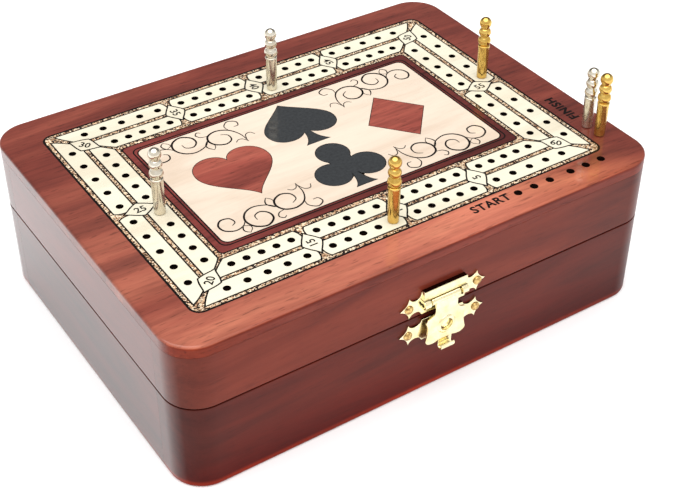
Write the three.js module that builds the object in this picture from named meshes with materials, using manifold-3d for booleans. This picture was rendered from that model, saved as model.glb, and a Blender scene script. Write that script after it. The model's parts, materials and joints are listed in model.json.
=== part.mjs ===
// Hinged wooden cribbage box: the lid is the scoring board, the base holds cards and pegs.
// Millimetres, +Z up. The origin is the centre of the underside, and -Y is the front.
import * as THREE from 'three';
import { mergeVertices } from 'three/addons/utils/BufferGeometryUtils.js';
import Module from 'manifold-3d';

const wasm = await Module();
wasm.setup();

// ---- driving dimensions ----------------------------------------------------------------
const LENGTH = 206;
const DEPTH = 152.5;
const HEIGHT = 64.4;
const LID_HEIGHT = 27.3;
const SEAM_GAP = 0.3;
const CORNER_RADIUS = 13;
const LONG_WALL = 17.8;
const END_WALL = 12;
const GLUE_GAP = 0.1;
const FLOOR_THICKNESS = 5;
const LINING_THICKNESS = 0.8;
const DIVIDER_THICKNESS = 3;
const DIVIDER_HEIGHT = 22;
const DIVIDER_X = 23;
const DECK_EDGE = 4.6;
const DECK_CORE = 10;
const TOP_ROUNDING = 0.9;
const INLAY_THICKNESS = 1.2;
const INLAY_GAP = 0.05;
const SUIT_THICKNESS = 0.6;

// Half sizes of the inlays, measured from the centre of the board.
const TRACK_OUTER = { x: 88.4, y: 61.8, radius: 4.4 };
const TRACK_INNER = { x: 65.1, y: 38.0, radius: 1.5 };
const PANEL = { x: 61.2, y: 33.8, radius: 2.8 };

// Peg holes: two rows all round, in groups of five.
const HOLE_RADIUS = 1.75;
const HOLE_SIDES = 6;
const HOLE_DEPTH = 9;
const PITCH = 6.35;
const OUTER_ROW = { x: 82.0, y: 55.13 };
const INNER_ROW = { x: 71.6, y: 44.67 };
const GROUP = 5;
const MIDDLE_START = 5.3;
const END_START = 41.1;
const OUTER_END_PITCH = 7.87;
const INNER_END_PITCH = 5.96;
const SIDE_OUTER = { start: 5.5, pitch: 10.0 };
const SIDE_INNER = { start: 5.6, pitch: 8.06 };
const START_Y = -66;
const START_X = [42.5, 50.0, 57.5, 67.5, 75.0, 82.5];
const FINISH_X = 93.2;
const FINISH_Y = [-46.1, -53.2];

// Hinges at the back, clasp at the front.
const HINGE_X = 62;
const LEAF_LENGTH = 30;
const LEAF_THICKNESS = 1;
const LEAF_REACH = 12;
const KNUCKLE_RADIUS = 2.2;
const KNUCKLE_GAP = 0.2;
const PIN_RADIUS = 1.0;
const PIN_BORE = 1.12;
const PIN_OVERHANG = 0.3;
const KNUCKLES = 3;
const LEAF_SEAM_GAP = 0.1;
const HINGE_SCREW_X = 9;
const HINGE_SCREW_REACH = 6.2;
const CLASP_X = 1.8;
const CLASP_DROP = 21.8;
const CATCH_DROP = 34;
const BOSS_DROP = 33.4;
const EAR_X = 15.1;

// How finely round shapes are cut, and how far a cutting solid reaches past the face it opens.
const CORNER_STEPS = 14;
const INLAY_CORNER_STEPS = 3;
const ROUND = 12;
const FASTENER_SIDES = 8;
const OVERCUT = 1;

// ---- levels worked out from them -------------------------------------------------------
const SEAM = HEIGHT - LID_HEIGHT;
const BASE_TOP = SEAM - SEAM_GAP / 2;
const LID_BOTTOM = SEAM + SEAM_GAP / 2;
const FRONT = -DEPTH / 2;
const BACK = DEPTH / 2;
const INNER_LENGTH = LENGTH - 2 * END_WALL;
const INNER_DEPTH = DEPTH - 2 * LONG_WALL;
const DECK_SHOULDER = HEIGHT - DECK_EDGE;
const HINGE_AXIS_Y = BACK + KNUCKLE_RADIUS + GLUE_GAP;
const LEAF_BOTTOM_LID = SEAM + LEAF_SEAM_GAP / 2;
const LEAF_TOP_BASE = SEAM - LEAF_SEAM_GAP / 2;
const KNUCKLE_PITCH = LEAF_LENGTH / KNUCKLES;
const BOSS_Z = HEIGHT - BOSS_DROP;

// ---- materials -------------------------------------------------------------------------
const finish = (color, roughness, metalness) =>
  new THREE.MeshStandardMaterial({ color, roughness, metalness });
const redwood = () => finish(0x8a3a30, 0.25, 0);
const darkwood = () => finish(0x6a2c26, 0.4, 0);
const maple = () => finish(0xf3e8cf, 0.3, 0);
const ebony = () => finish(0x3a3c40, 0.35, 0);
const brass = () => finish(0xd9c27a, 0.25, 1);
const gold = () => finish(0xd9a83c, 0.2, 1);
const silver = () => finish(0xd0d0d2, 0.2, 1);
const felt = () => finish(0x2c4a36, 0.95, 0);

// ---- solid helpers ---------------------------------------------------------------------
const board = new THREE.Group();

// Turns a closed geometry into a solid that can be joined and cut.
function solid(geometry) {
  const bare = geometry.index ? geometry.toNonIndexed() : geometry.clone();
  bare.deleteAttribute('normal');
  bare.deleteAttribute('uv');
  const merged = mergeVertices(bare, 1e-4);
  return new wasm.Manifold(new wasm.Mesh({
    numProp: 3,
    vertProperties: new Float32Array(merged.attributes.position.array),
    triVerts: new Uint32Array(merged.index.array),
  }));
}

// Adds a solid to the group it belongs to as one named mesh.
function add(name, shape, material, place = [0, 0, 0]) {
  const { vertProperties, triVerts } = shape.getMesh();
  const geometry = new THREE.BufferGeometry();
  geometry.setAttribute('position', new THREE.BufferAttribute(vertProperties, 3));
  geometry.setIndex(new THREE.BufferAttribute(triVerts, 1));
  geometry.computeVertexNormals();
  const mesh = new THREE.Mesh(geometry, material);
  mesh.name = name;
  mesh.position.set(...place);
  board.add(mesh);
}

// A box from its lowest to its highest corner.
function block(low, high) {
  const size = high.map((value, i) => value - low[i]);
  const geometry = new THREE.BoxGeometry(...size);
  geometry.translate(...low.map((value, i) => value + size[i] / 2));
  return solid(geometry);
}

// A flat outline raised from one level to another.
function raise(shape, bottom, top, curveSegments = CORNER_STEPS) {
  const geometry = new THREE.ExtrudeGeometry(shape, {
    depth: top - bottom, bevelEnabled: false, curveSegments,
  });
  geometry.translate(0, 0, bottom);
  return solid(geometry);
}

// An outline drawn in x and height, pushed out from the front face between two depths.
function stamp(shape, near, far, curveSegments = 4) {
  const geometry = new THREE.ExtrudeGeometry(shape, {
    depth: far - near, bevelEnabled: false, curveSegments,
  });
  geometry.rotateX(Math.PI / 2);
  geometry.translate(0, FRONT - near, 0);
  return solid(geometry);
}

// A rectangle with round corners, centred on the board.
function roundedRectangle({ x, y, radius }) {
  const shape = new THREE.Shape();
  shape.moveTo(x, y - radius);
  shape.absarc(x - radius, y - radius, radius, 0, Math.PI / 2);
  shape.absarc(-x + radius, y - radius, radius, Math.PI / 2, Math.PI);
  shape.absarc(-x + radius, -y + radius, radius, Math.PI, 1.5 * Math.PI);
  shape.absarc(x - radius, -y + radius, radius, 1.5 * Math.PI, 2 * Math.PI);
  return shape;
}

// A plate with that outline, from one level to another.
const inlay = (size, bottom, top) => raise(roundedRectangle(size), bottom, top, INLAY_CORNER_STEPS);

const grown = (size, by) => ({ x: size.x + by, y: size.y + by, radius: size.radius + by });

// A turned piece standing along Z, from [radius, height] points.
function turned(points, sides) {
  return solid(new THREE.LatheGeometry(points.map(([r, z]) => new THREE.Vector2(r, z)), sides)
    .rotateX(Math.PI / 2));
}

// A round bar along X.
function bar(radius, fromX, toX, y, z) {
  const geometry = new THREE.CylinderGeometry(radius, radius, toX - fromX, ROUND);
  geometry.rotateZ(Math.PI / 2);
  geometry.translate((fromX + toX) / 2, y, z);
  return solid(geometry);
}

// A peg hole bored down from the top of the board.
function bore(x, y) {
  const length = HOLE_DEPTH + OVERCUT;
  const geometry = new THREE.CylinderGeometry(HOLE_RADIUS, HOLE_RADIUS, length, HOLE_SIDES);
  geometry.rotateX(Math.PI / 2);
  geometry.translate(x, y, HEIGHT + OVERCUT - length / 2);
  return solid(geometry);
}

const union = (shapes) => wasm.Manifold.union(shapes);

// ---- peg hole places -------------------------------------------------------------------
// Both ends of a run of five holes that starts at a distance from the middle of a side.
function run(start, pitch) {
  const steps = Array.from({ length: GROUP }, (_, i) => start + i * pitch);
  return [...steps.map((v) => -v), ...steps];
}

function trackHoles() {
  const places = [];
  for (const side of [-1, 1]) {
    for (const x of [...run(MIDDLE_START, PITCH), ...run(END_START, OUTER_END_PITCH)]) {
      places.push([x, side * OUTER_ROW.y]);
    }
    for (const x of [...run(MIDDLE_START, PITCH), ...run(END_START, INNER_END_PITCH)]) {
      places.push([x, side * INNER_ROW.y]);
    }
    for (const y of run(SIDE_OUTER.start, SIDE_OUTER.pitch)) {
      places.push([side * OUTER_ROW.x, y]);
    }
    for (const y of run(SIDE_INNER.start, SIDE_INNER.pitch)) {
      places.push([side * INNER_ROW.x, y]);
    }
  }
  return places;
}

const startHoles = START_X.map((x) => [x, START_Y]);
const finishHoles = FINISH_Y.map((y) => [FINISH_X, y]);
const boreAll = (places) => union(places.map(([x, y]) => bore(x, y)));

// ---- fasteners -------------------------------------------------------------------------
const SCREW = { headRadius: 2, headHeight: 0.9, shankRadius: 0.9, length: 8 };
const NAIL = { headRadius: 1.75, headHeight: 0.9, shankRadius: 0.8, length: 7 };
const NAIL_POINT = 1;
const NAIL_SEAT = 0.8;
const FASTENER_CLEARANCE = 0.15;
const NAIL_HOLE_RADIUS = NAIL.shankRadius + FASTENER_CLEARANCE;

// A countersunk screw: the flat top of its head is at height 0, its shank goes down.
function screwSolid() {
  const { headRadius, headHeight, shankRadius, length } = SCREW;
  return turned([
    [0, -length],
    [shankRadius, -length],
    [shankRadius, -headHeight],
    [headRadius, 0],
    [0, 0],
  ], FASTENER_SIDES);
}

// The hole for such a screw: larger all round, and open at the top.
function screwHole() {
  const { headRadius, headHeight, shankRadius, length } = SCREW;
  const gap = FASTENER_CLEARANCE;
  return turned([
    [0, -length - gap],
    [shankRadius + gap, -length - gap],
    [shankRadius + gap, -headHeight - gap],
    [headRadius + gap, -gap],
    [headRadius + gap, OVERCUT],
    [0, OVERCUT],
  ], FASTENER_SIDES);
}

// A domed nail: the underside of its head is at height 0, its shank goes down.
function nailSolid() {
  const { headRadius, headHeight, shankRadius, length } = NAIL;
  return turned([
    [0, -length],
    [shankRadius, -length + NAIL_POINT],
    [shankRadius, 0],
    [headRadius, 0],
    [headRadius * 0.8, headHeight * 0.7],
    [0, headHeight],
  ], FASTENER_SIDES);
}

// ---- walls, floor and dividers ---------------------------------------------------------
// Outline of a full-length wall with round outer corners; side is -1 in front, 1 behind.
function longWallOutline(side) {
  const x = LENGTH / 2;
  const outer = side * BACK;
  const inner = side * (BACK - LONG_WALL);
  const centre = side * (BACK - CORNER_RADIUS);
  const shape = new THREE.Shape();
  shape.moveTo(-x, inner);
  shape.lineTo(x, inner);
  shape.lineTo(x, centre);
  shape.absarc(x - CORNER_RADIUS, centre, CORNER_RADIUS, 0, side * Math.PI / 2, side < 0);
  shape.lineTo(-x + CORNER_RADIUS, outer);
  shape.absarc(-x + CORNER_RADIUS, centre, CORNER_RADIUS, side * Math.PI / 2, side * Math.PI,
    side < 0);
  return shape;
}

function endWall(side, bottom, top) {
  const inner = side * INNER_LENGTH / 2;
  const outer = side * LENGTH / 2;
  const y = INNER_DEPTH / 2 - GLUE_GAP;
  return block([Math.min(inner, outer), -y, bottom], [Math.max(inner, outer), y, top]);
}

// The mortise for one hinge leaf, open towards the back face.
function mortise(x, bottom, top) {
  const half = LEAF_LENGTH / 2 + GLUE_GAP;
  return block([x - half, BACK - LEAF_REACH - GLUE_GAP, bottom], [x + half, BACK + OVERCUT, top]);
}

const hingeScrews = [-1, 1].flatMap((hinge) => [-1, 1].map((end) => ({
  name: `${hinge < 0 ? 'left' : 'right'}_${end < 0 ? 'outer' : 'inner'}`,
  x: hinge * HINGE_X + end * hinge * -HINGE_SCREW_X,
  y: BACK - HINGE_SCREW_REACH,
})));

// Space for a hinge screw in the wood or the leaf, above the seam (up = 1) or below it (-1).
function screwSpace({ x, y }, up) {
  const shape = screwHole();
  const turnedOver = up > 0 ? shape.rotate([180, 0, 0]) : shape;
  return turnedOver.translate([x, y, up > 0 ? LEAF_BOTTOM_LID : LEAF_TOP_BASE]);
}

const nailPlaces = (drop) => [-1, 1].map((side) => ({
  name: side < 0 ? 'left' : 'right',
  x: CLASP_X + side * EAR_X,
  z: HEIGHT - drop,
}));

// Space for a nail driven straight in from the front, through the plate and into the wood.
function nailSpace({ x, z }) {
  const length = NAIL.length + 2 * OVERCUT;
  const geometry = new THREE.CylinderGeometry(NAIL_HOLE_RADIUS, NAIL_HOLE_RADIUS, length,
    FASTENER_SIDES);
  geometry.translate(x, FRONT - NAIL_SEAT - OVERCUT / 2 + length / 2, z);
  return solid(geometry);
}

function addBase() {
  const front = raise(longWallOutline(-1), 0, BASE_TOP)
    .subtract(union(nailPlaces(CATCH_DROP).map(nailSpace)));
  add('base_front_wall', front, redwood());
  let back = raise(longWallOutline(1), 0, BASE_TOP);
  for (const x of [-HINGE_X, HINGE_X]) {
    back = back.subtract(mortise(x, LEAF_TOP_BASE - LEAF_THICKNESS - GLUE_GAP, SEAM + OVERCUT));
  }
  back = back.subtract(union(hingeScrews.map((place) => screwSpace(place, -1))));
  add('base_back_wall', back, redwood());
  add('base_left_wall', endWall(-1, 0, BASE_TOP), redwood());
  add('base_right_wall', endWall(1, 0, BASE_TOP), redwood());
  const x = INNER_LENGTH / 2 - GLUE_GAP;
  const y = INNER_DEPTH / 2 - GLUE_GAP;
  add('base_floor', block([-x, -y, 0], [x, y, FLOOR_THICKNESS]), darkwood());
  const liningTop = FLOOR_THICKNESS + GLUE_GAP + LINING_THICKNESS;
  add('well_lining', block([-x, -y, FLOOR_THICKNESS + GLUE_GAP], [x, y, liningTop]), felt());
  for (const [name, centre] of [['left', -DIVIDER_X], ['right', DIVIDER_X]]) {
    const half = DIVIDER_THICKNESS / 2;
    const bottom = liningTop + GLUE_GAP;
    add(`divider_${name}`,
      block([centre - half, -y, bottom], [centre + half, y, bottom + DIVIDER_HEIGHT]), redwood());
  }
}

function addLidWalls() {
  const top = DECK_SHOULDER - GLUE_GAP;
  const front = raise(longWallOutline(-1), LID_BOTTOM, top)
    .subtract(union(nailPlaces(CLASP_DROP).map(nailSpace)))
    .subtract(boreAll(startHoles));
  add('lid_front_wall', front, redwood());
  let back = raise(longWallOutline(1), LID_BOTTOM, top);
  for (const x of [-HINGE_X, HINGE_X]) {
    back = back.subtract(mortise(x, SEAM - OVERCUT, LEAF_BOTTOM_LID + LEAF_THICKNESS + GLUE_GAP));
  }
  back = back.subtract(union(hingeScrews.map((place) => screwSpace(place, 1))));
  add('lid_back_wall', back, redwood());
  add('lid_left_wall', endWall(-1, LID_BOTTOM, top), redwood());
  add('lid_right_wall', endWall(1, LID_BOTTOM, top).subtract(boreAll(finishHoles)), redwood());
}

// ---- the board: deck, inlays and suits -------------------------------------------------
// The deck is rabbeted: its edge lies on the walls and its thicker middle drops between them.
function addDeck() {
  const outline = roundedRectangle({
    x: LENGTH / 2 - TOP_ROUNDING, y: DEPTH / 2 - TOP_ROUNDING, radius: CORNER_RADIUS - TOP_ROUNDING,
  });
  const geometry = new THREE.ExtrudeGeometry(outline, {
    depth: 2 * DECK_EDGE - 2 * TOP_ROUNDING, bevelEnabled: true, bevelSize: TOP_ROUNDING,
    bevelThickness: TOP_ROUNDING, bevelSegments: 2, curveSegments: CORNER_STEPS,
  });
  geometry.translate(0, 0, HEIGHT - 2 * DECK_EDGE + TOP_ROUNDING);
  const below = block([-LENGTH, -DEPTH, 0], [LENGTH, DEPTH, DECK_SHOULDER]);
  const x = INNER_LENGTH / 2 - GLUE_GAP;
  const y = INNER_DEPTH / 2 - GLUE_GAP;
  const core = block([-x, -y, HEIGHT - DECK_CORE], [x, y, DECK_SHOULDER + OVERCUT]);
  const pocketFloor = HEIGHT - INLAY_THICKNESS - INLAY_GAP;
  const trackPocket = inlay(grown(TRACK_OUTER, INLAY_GAP), pocketFloor, HEIGHT + OVERCUT)
    .subtract(inlay(grown(TRACK_INNER, -INLAY_GAP), 0, HEIGHT + 2 * OVERCUT));
  const panelPocket = inlay(grown(PANEL, INLAY_GAP), pocketFloor, HEIGHT + OVERCUT);
  const deck = solid(geometry).subtract(below).add(core)
    .subtract(trackPocket)
    .subtract(panelPocket)
    .subtract(boreAll([...trackHoles(), ...startHoles, ...finishHoles]));
  add('deck_board', deck, redwood());
}

function addTrack() {
  const bottom = HEIGHT - INLAY_THICKNESS;
  const track = inlay(TRACK_OUTER, bottom, HEIGHT)
    .subtract(inlay(TRACK_INNER, 0, HEIGHT + OVERCUT))
    .subtract(boreAll(trackHoles()));
  add('track_inlay', track, maple());
}

// Outlines of the four card suits, each centred on its own place on the panel.
function spadeOutline(grow) {
  const shape = new THREE.Shape();
  shape.moveTo(0, 32 + grow);
  shape.bezierCurveTo(7, 25, 15 + grow, 21, 15 + grow, 15);
  shape.bezierCurveTo(15 + grow, 6 - grow, 5, 6 - grow, 1.5 + grow, 11 - grow);
  shape.quadraticCurveTo(1.5 + grow, 5, 5 + grow, 2 - grow);
  shape.lineTo(-5 - grow, 2 - grow);
  shape.quadraticCurveTo(-1.5 - grow, 5, -1.5 - grow, 11 - grow);
  shape.bezierCurveTo(-5, 6 - grow, -15 - grow, 6 - grow, -15 - grow, 15);
  shape.bezierCurveTo(-15 - grow, 21, -7, 25, 0, 32 + grow);
  return shape;
}

function heartOutline(grow) {
  const shape = new THREE.Shape();
  shape.moveTo(0, -15 - grow);
  shape.bezierCurveTo(3, -9, 15.4 + grow, -2, 15.4 + grow, 6);
  shape.bezierCurveTo(15.4 + grow, 17 + grow, 3, 17 + grow, 0, 10 + grow);
  shape.bezierCurveTo(-3, 17 + grow, -15.4 - grow, 17 + grow, -15.4 - grow, 6);
  shape.bezierCurveTo(-15.4 - grow, -2, -3, -9, 0, -15 - grow);
  return shape;
}

function diamondOutline(grow) {
  const shape = new THREE.Shape();
  shape.moveTo(0, 15.7 + grow);
  shape.lineTo(-13.2 - grow, 0);
  shape.lineTo(0, -15.7 - grow);
  shape.lineTo(13.2 + grow, 0);
  return shape;
}

// The club is three round lobes and a flared stem joined together.
function clubSolid(grow, bottom, top) {
  const lobe = (x, y, radius) => {
    const circle = new THREE.Shape();
    circle.absarc(x, y, radius + grow, 0, 2 * Math.PI);
    return raise(circle, bottom, top, 8);
  };
  const stem = new THREE.Shape();
  stem.moveTo(-1.6 - grow, -17);
  stem.quadraticCurveTo(-1.6 - grow, -28, -4.3 - grow, -30.9 - grow);
  stem.lineTo(4.3 + grow, -30.9 - grow);
  stem.quadraticCurveTo(1.6 + grow, -28, 1.6 + grow, -17);
  const middle = new THREE.Shape();
  middle.moveTo(0, -10);
  middle.lineTo(-5, -19);
  middle.lineTo(5, -19);
  return union([lobe(0, -7.7, 6.5), lobe(-7.4, -19.9, 7), lobe(7.4, -19.9, 7),
    raise(stem, bottom, top, 3), raise(middle, bottom, top)]);
}

const suits = [
  { name: 'spade', x: 0.3, y: 0, material: ebony,
    make: (grow, bottom, top) => raise(spadeOutline(grow), bottom, top, 5) },
  { name: 'heart', x: -35.3, y: 0, material: redwood,
    make: (grow, bottom, top) => raise(heartOutline(grow), bottom, top, 5) },
  { name: 'diamond', x: 35.7, y: 0.5, material: redwood,
    make: (grow, bottom, top) => raise(diamondOutline(grow), bottom, top, 5) },
  { name: 'club', x: 0.3, y: 0, material: ebony, make: clubSolid },
];

function addPanel() {
  const suitFloor = HEIGHT - SUIT_THICKNESS - INLAY_GAP;
  let panel = inlay(PANEL, HEIGHT - INLAY_THICKNESS, HEIGHT);
  for (const suit of suits) {
    const pocket = suit.make(INLAY_GAP, suitFloor, HEIGHT + OVERCUT).translate([suit.x, suit.y, 0]);
    panel = panel.subtract(pocket);
    const piece = suit.make(0, HEIGHT - SUIT_THICKNESS, HEIGHT);
    add(`suit_${suit.name}`, piece, suit.material(), [suit.x, suit.y, 0]);
  }
  add('centre_panel', panel, maple());
}

// ---- hinges ----------------------------------------------------------------------------
// One knuckle and the tab that joins it to its leaf, between two places along the hinge.
function knuckle(x, index, bottom, top) {
  const from = x - LEAF_LENGTH / 2 + index * KNUCKLE_PITCH + KNUCKLE_GAP / 2;
  const to = from + KNUCKLE_PITCH - KNUCKLE_GAP;
  return bar(KNUCKLE_RADIUS, from, to, HINGE_AXIS_Y, SEAM)
    .add(block([from, BACK - OVERCUT, bottom], [to, HINGE_AXIS_Y, top]));
}

function addLeaf(name, x, up) {
  const bottom = up > 0 ? LEAF_BOTTOM_LID : LEAF_TOP_BASE - LEAF_THICKNESS;
  const top = bottom + LEAF_THICKNESS;
  const half = LEAF_LENGTH / 2;
  const owned = up > 0 ? [1] : [0, 2];
  const leaf = union([
    block([x - half, BACK - LEAF_REACH, bottom], [x + half, BACK, top]),
    ...owned.map((index) => knuckle(x, index, bottom, top)),
  ])
    .subtract(bar(PIN_BORE, x - LEAF_LENGTH, x + LEAF_LENGTH, HINGE_AXIS_Y, SEAM))
    .subtract(union(hingeScrews.map((place) => screwSpace(place, up))));
  add(name, leaf, brass());
}

function addHinges() {
  for (const [side, x] of [['left', -HINGE_X], ['right', HINGE_X]]) {
    addLeaf(`hinge_base_leaf_${side}`, x, -1);
    addLeaf(`hinge_lid_leaf_${side}`, x, 1);
    const half = LEAF_LENGTH / 2 + PIN_OVERHANG;
    add(`hinge_pin_${side}`, bar(PIN_RADIUS, x - half, x + half, HINGE_AXIS_Y, SEAM), brass());
  }
  for (const { name, x, y } of hingeScrews) {
    add(`hinge_base_screw_${name}`, screwSolid(), brass(), [x, y, LEAF_TOP_BASE]);
    add(`hinge_lid_screw_${name}`, screwSolid().rotate([180, 0, 0]), brass(),
      [x, y, LEAF_BOTTOM_LID]);
  }
}

// ---- clasp -----------------------------------------------------------------------------
// Heights on the clasp are given as drops below the playing face.
const PLATE = 0.8;
const BRIDGE = { half: 9.7, topDrop: 15.7, lowDrop: 24.9, proud: 2.3 };
const WINDOW = { half: 7, height: 4.4 };
const CLASP_AXIS = { proud: 1.6, z: HEIGHT - CLASP_DROP };
const LOOP_BAR = 0.65;
const LOOP_BORE = 0.85;
const LOOP_OUTER = 1.5;
const TONGUE = {
  back: 2.5, front: 3.3, neck: 5, body: 9, holeRadius: 2.5, ring: 3.6, ringRise: 0.7,
  neckDrop: 26, shoulderDrop: 28.2, waistDrop: 33, lobeDrop: 37, lowDrop: 40.6,
};
const LIP = { half: 3, proud: 5.4, thickness: 0.8 };
const CATCH = { half: 9.2, topDrop: 29.6, lowDrop: 38.2, bossRadius: 2, bossProud: 2.3 };
const EAR = { tip: 18.8, point: 15, pointRise: 4.7, waist: 12.2, waistRise: 2.8, hollow: 1 };

// Outline of a stamped plate whose two ends are three-pointed ears.
function earedPlate(half, lowDrop, topDrop, earZ) {
  const shape = new THREE.Shape();
  const side = EAR.point + EAR.hollow;
  const right = [[half, HEIGHT - topDrop], [EAR.waist, earZ + EAR.waistRise],
    [EAR.point, earZ + EAR.pointRise], [side, earZ + 2 * EAR.hollow], [EAR.tip, earZ],
    [side, earZ - 2 * EAR.hollow], [EAR.point, earZ - EAR.pointRise],
    [EAR.waist, earZ - EAR.waistRise], [half, HEIGHT - lowDrop]];
  const left = right.map(([x, z]) => [-x, z]).reverse();
  for (const [i, [x, z]] of [...right, ...left].entries()) {
    if (i === 0) {
      shape.moveTo(CLASP_X + x, z);
    } else {
      shape.lineTo(CLASP_X + x, z);
    }
  }
  return shape;
}

// A rectangle in x and height, centred on the clasp.
function claspRectangle(half, low, high) {
  const shape = new THREE.Shape();
  shape.moveTo(CLASP_X - half, low);
  shape.lineTo(CLASP_X + half, low);
  shape.lineTo(CLASP_X + half, high);
  shape.lineTo(CLASP_X - half, high);
  return shape;
}

function claspDisc(z, radius, near, far) {
  const circle = new THREE.Shape();
  circle.absarc(CLASP_X, z, radius, 0, 2 * Math.PI);
  return stamp(circle, near, far, ROUND);
}

function addLidPlate() {
  const { z, proud } = CLASP_AXIS;
  const { half, height } = WINDOW;
  const window = claspRectangle(half, z - height / 2, z + height / 2);
  const bridge = claspRectangle(BRIDGE.half, HEIGHT - BRIDGE.lowDrop, HEIGHT - BRIDGE.topDrop);
  const outline = earedPlate(BRIDGE.half, BRIDGE.lowDrop, BRIDGE.topDrop, z);
  const barHalf = half + OVERCUT;
  const plate = stamp(outline, GLUE_GAP, PLATE)
    .add(stamp(bridge, GLUE_GAP, BRIDGE.proud))
    .subtract(stamp(window, -OVERCUT, BRIDGE.proud + OVERCUT))
    .add(bar(LOOP_BAR, CLASP_X - barHalf, CLASP_X + barHalf, FRONT - proud, z))
    .subtract(union(nailPlaces(CLASP_DROP).map(nailSpace)));
  add('clasp_lid_plate', plate, brass());
}

// Outline of the tongue: a neck, two shoulders, and two round lobes on either side of the lip.
function tongueOutline() {
  const { neck, body, neckDrop, shoulderDrop, waistDrop, lobeDrop, lowDrop } = TONGUE;
  const x = (offset) => CLASP_X + offset;
  const z = (drop) => HEIGHT - drop;
  const shape = new THREE.Shape();
  shape.moveTo(x(-neck), CLASP_AXIS.z);
  shape.lineTo(x(-neck), z(neckDrop));
  shape.quadraticCurveTo(x(-neck), z(shoulderDrop), x(-body + 0.8), z(shoulderDrop + 0.6));
  shape.quadraticCurveTo(x(-body + 2), z(waistDrop), x(-body), z(lobeDrop));
  shape.bezierCurveTo(x(-body - 0.6), z(lowDrop + 0.4), x(-neck), z(lowDrop + 0.4),
    x(-LIP.half), z(lowDrop - 0.4));
  shape.lineTo(x(LIP.half), z(lowDrop - 0.4));
  shape.bezierCurveTo(x(neck), z(lowDrop + 0.4), x(body + 0.6), z(lowDrop + 0.4),
    x(body), z(lobeDrop));
  shape.quadraticCurveTo(x(body - 2), z(waistDrop), x(body - 0.8), z(shoulderDrop + 0.6));
  shape.quadraticCurveTo(x(neck), z(shoulderDrop), x(neck), z(neckDrop));
  shape.lineTo(x(neck), CLASP_AXIS.z);
  return shape;
}

// The finger lip: a strip that leaves the bottom of the tongue and curls outwards.
function lipSolid() {
  const { back, front, lowDrop } = TONGUE;
  const top = HEIGHT - lowDrop;
  const { proud, thickness } = LIP;
  const side = new THREE.Shape([
    [back, top + OVERCUT], [front, top + OVERCUT], [proud - thickness, top - 2],
    [proud, top - 2.2], [proud, top - 3], [proud - thickness, top - 3.7],
    [back + thickness, top - 2.6],
  ].map(([depth, height]) => new THREE.Vector2(-depth, height)));
  const geometry = new THREE.ExtrudeGeometry(side, { depth: 2 * LIP.half, bevelEnabled: false });
  geometry.rotateX(Math.PI / 2).rotateZ(Math.PI / 2).translate(CLASP_X - LIP.half, FRONT, 0);
  return solid(geometry);
}

// The tongue hangs from the bar by a rolled loop and ends in the finger lip.
function addTongue() {
  const { z, proud } = CLASP_AXIS;
  const axisY = FRONT - proud;
  const { back, front, neck, holeRadius, ring, ringRise } = TONGUE;
  const boreHalf = neck + OVERCUT;
  const tongue = stamp(tongueOutline(), back, front)
    .add(bar(LOOP_OUTER, CLASP_X - neck, CLASP_X + neck, axisY, z))
    .add(claspDisc(BOSS_Z, ring, back, front + ringRise))
    .add(lipSolid())
    .subtract(claspDisc(BOSS_Z, holeRadius, back - OVERCUT, front + 2 * OVERCUT))
    .subtract(bar(LOOP_BORE, CLASP_X - boreHalf, CLASP_X + boreHalf, axisY, z));
  add('clasp_tongue', tongue, brass());
}

function addCatchPlate() {
  const { half, lowDrop, topDrop, bossRadius, bossProud } = CATCH;
  const plate = stamp(earedPlate(half, lowDrop, topDrop, HEIGHT - CATCH_DROP), GLUE_GAP, PLATE)
    .add(claspDisc(BOSS_Z, bossRadius, PLATE / 2, bossProud))
    .subtract(union(nailPlaces(CATCH_DROP).map(nailSpace)));
  add('clasp_catch_plate', plate, brass());
}

function addNails() {
  for (const [row, drop] of [['lid', CLASP_DROP], ['base', CATCH_DROP]]) {
    for (const { name, x, z } of nailPlaces(drop)) {
      add(`clasp_${row}_nail_${name}`, nailSolid().rotate([90, 0, 0]), brass(),
        [x, FRONT - NAIL_SEAT - GLUE_GAP, z]);
    }
  }
}

// ---- pegs ------------------------------------------------------------------------------
// Turned peg: a thin pin in the hole, a plain shank and three beads. Height 0 is the top of the
// board. The pegs aren't all the same length, so each one's shank is short by a little.
const PEG_PIN = [[0, -8.6], [0.9, -8.6], [1.2, -8.0], [1.42, 0.1], [2.1, 0.5]];
const PEG_HEAD = [
  [2.3, 14.9], [1.75, 15.4], [2.6, 16.5], [2.6, 17.8], [1.75, 19.1], [2.45, 20.3], [2.45, 21.6],
  [1.7, 22.9], [2.45, 24.3], [2.45, 25.8], [1.4, 27.5], [0, 27.5],
];
const PEG_SIDES = 8;

const pegs = [
  { name: 'peg_silver_left', x: -INNER_ROW.x, y: -SIDE_INNER.start, short: 0, material: silver },
  { name: 'peg_silver_back', x: MIDDLE_START, y: INNER_ROW.y, short: 0.3, material: silver },
  { name: 'peg_silver_finish', x: FINISH_X, y: FINISH_Y[0], short: 1.6, material: silver },
  { name: 'peg_gold_front', x: -MIDDLE_START, y: -OUTER_ROW.y, short: 0, material: gold },
  { name: 'peg_gold_right', x: OUTER_ROW.x, y: SIDE_OUTER.start, short: 0.2, material: gold },
  { name: 'peg_gold_finish', x: FINISH_X, y: FINISH_Y[1], short: 0.5, material: gold },
];

function addPegs() {
  for (const { name, x, y, short, material } of pegs) {
    const head = PEG_HEAD.map(([radius, height]) => [radius, height - short]);
    add(name, turned([...PEG_PIN, ...head], PEG_SIDES), material(), [x, y, HEIGHT]);
  }
}

addBase();
addLidWalls();
addDeck();
addTrack();
addPanel();
addHinges();
addLidPlate();
addTongue();
addCatchPlate();
addNails();
addPegs();

export default board;
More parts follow.
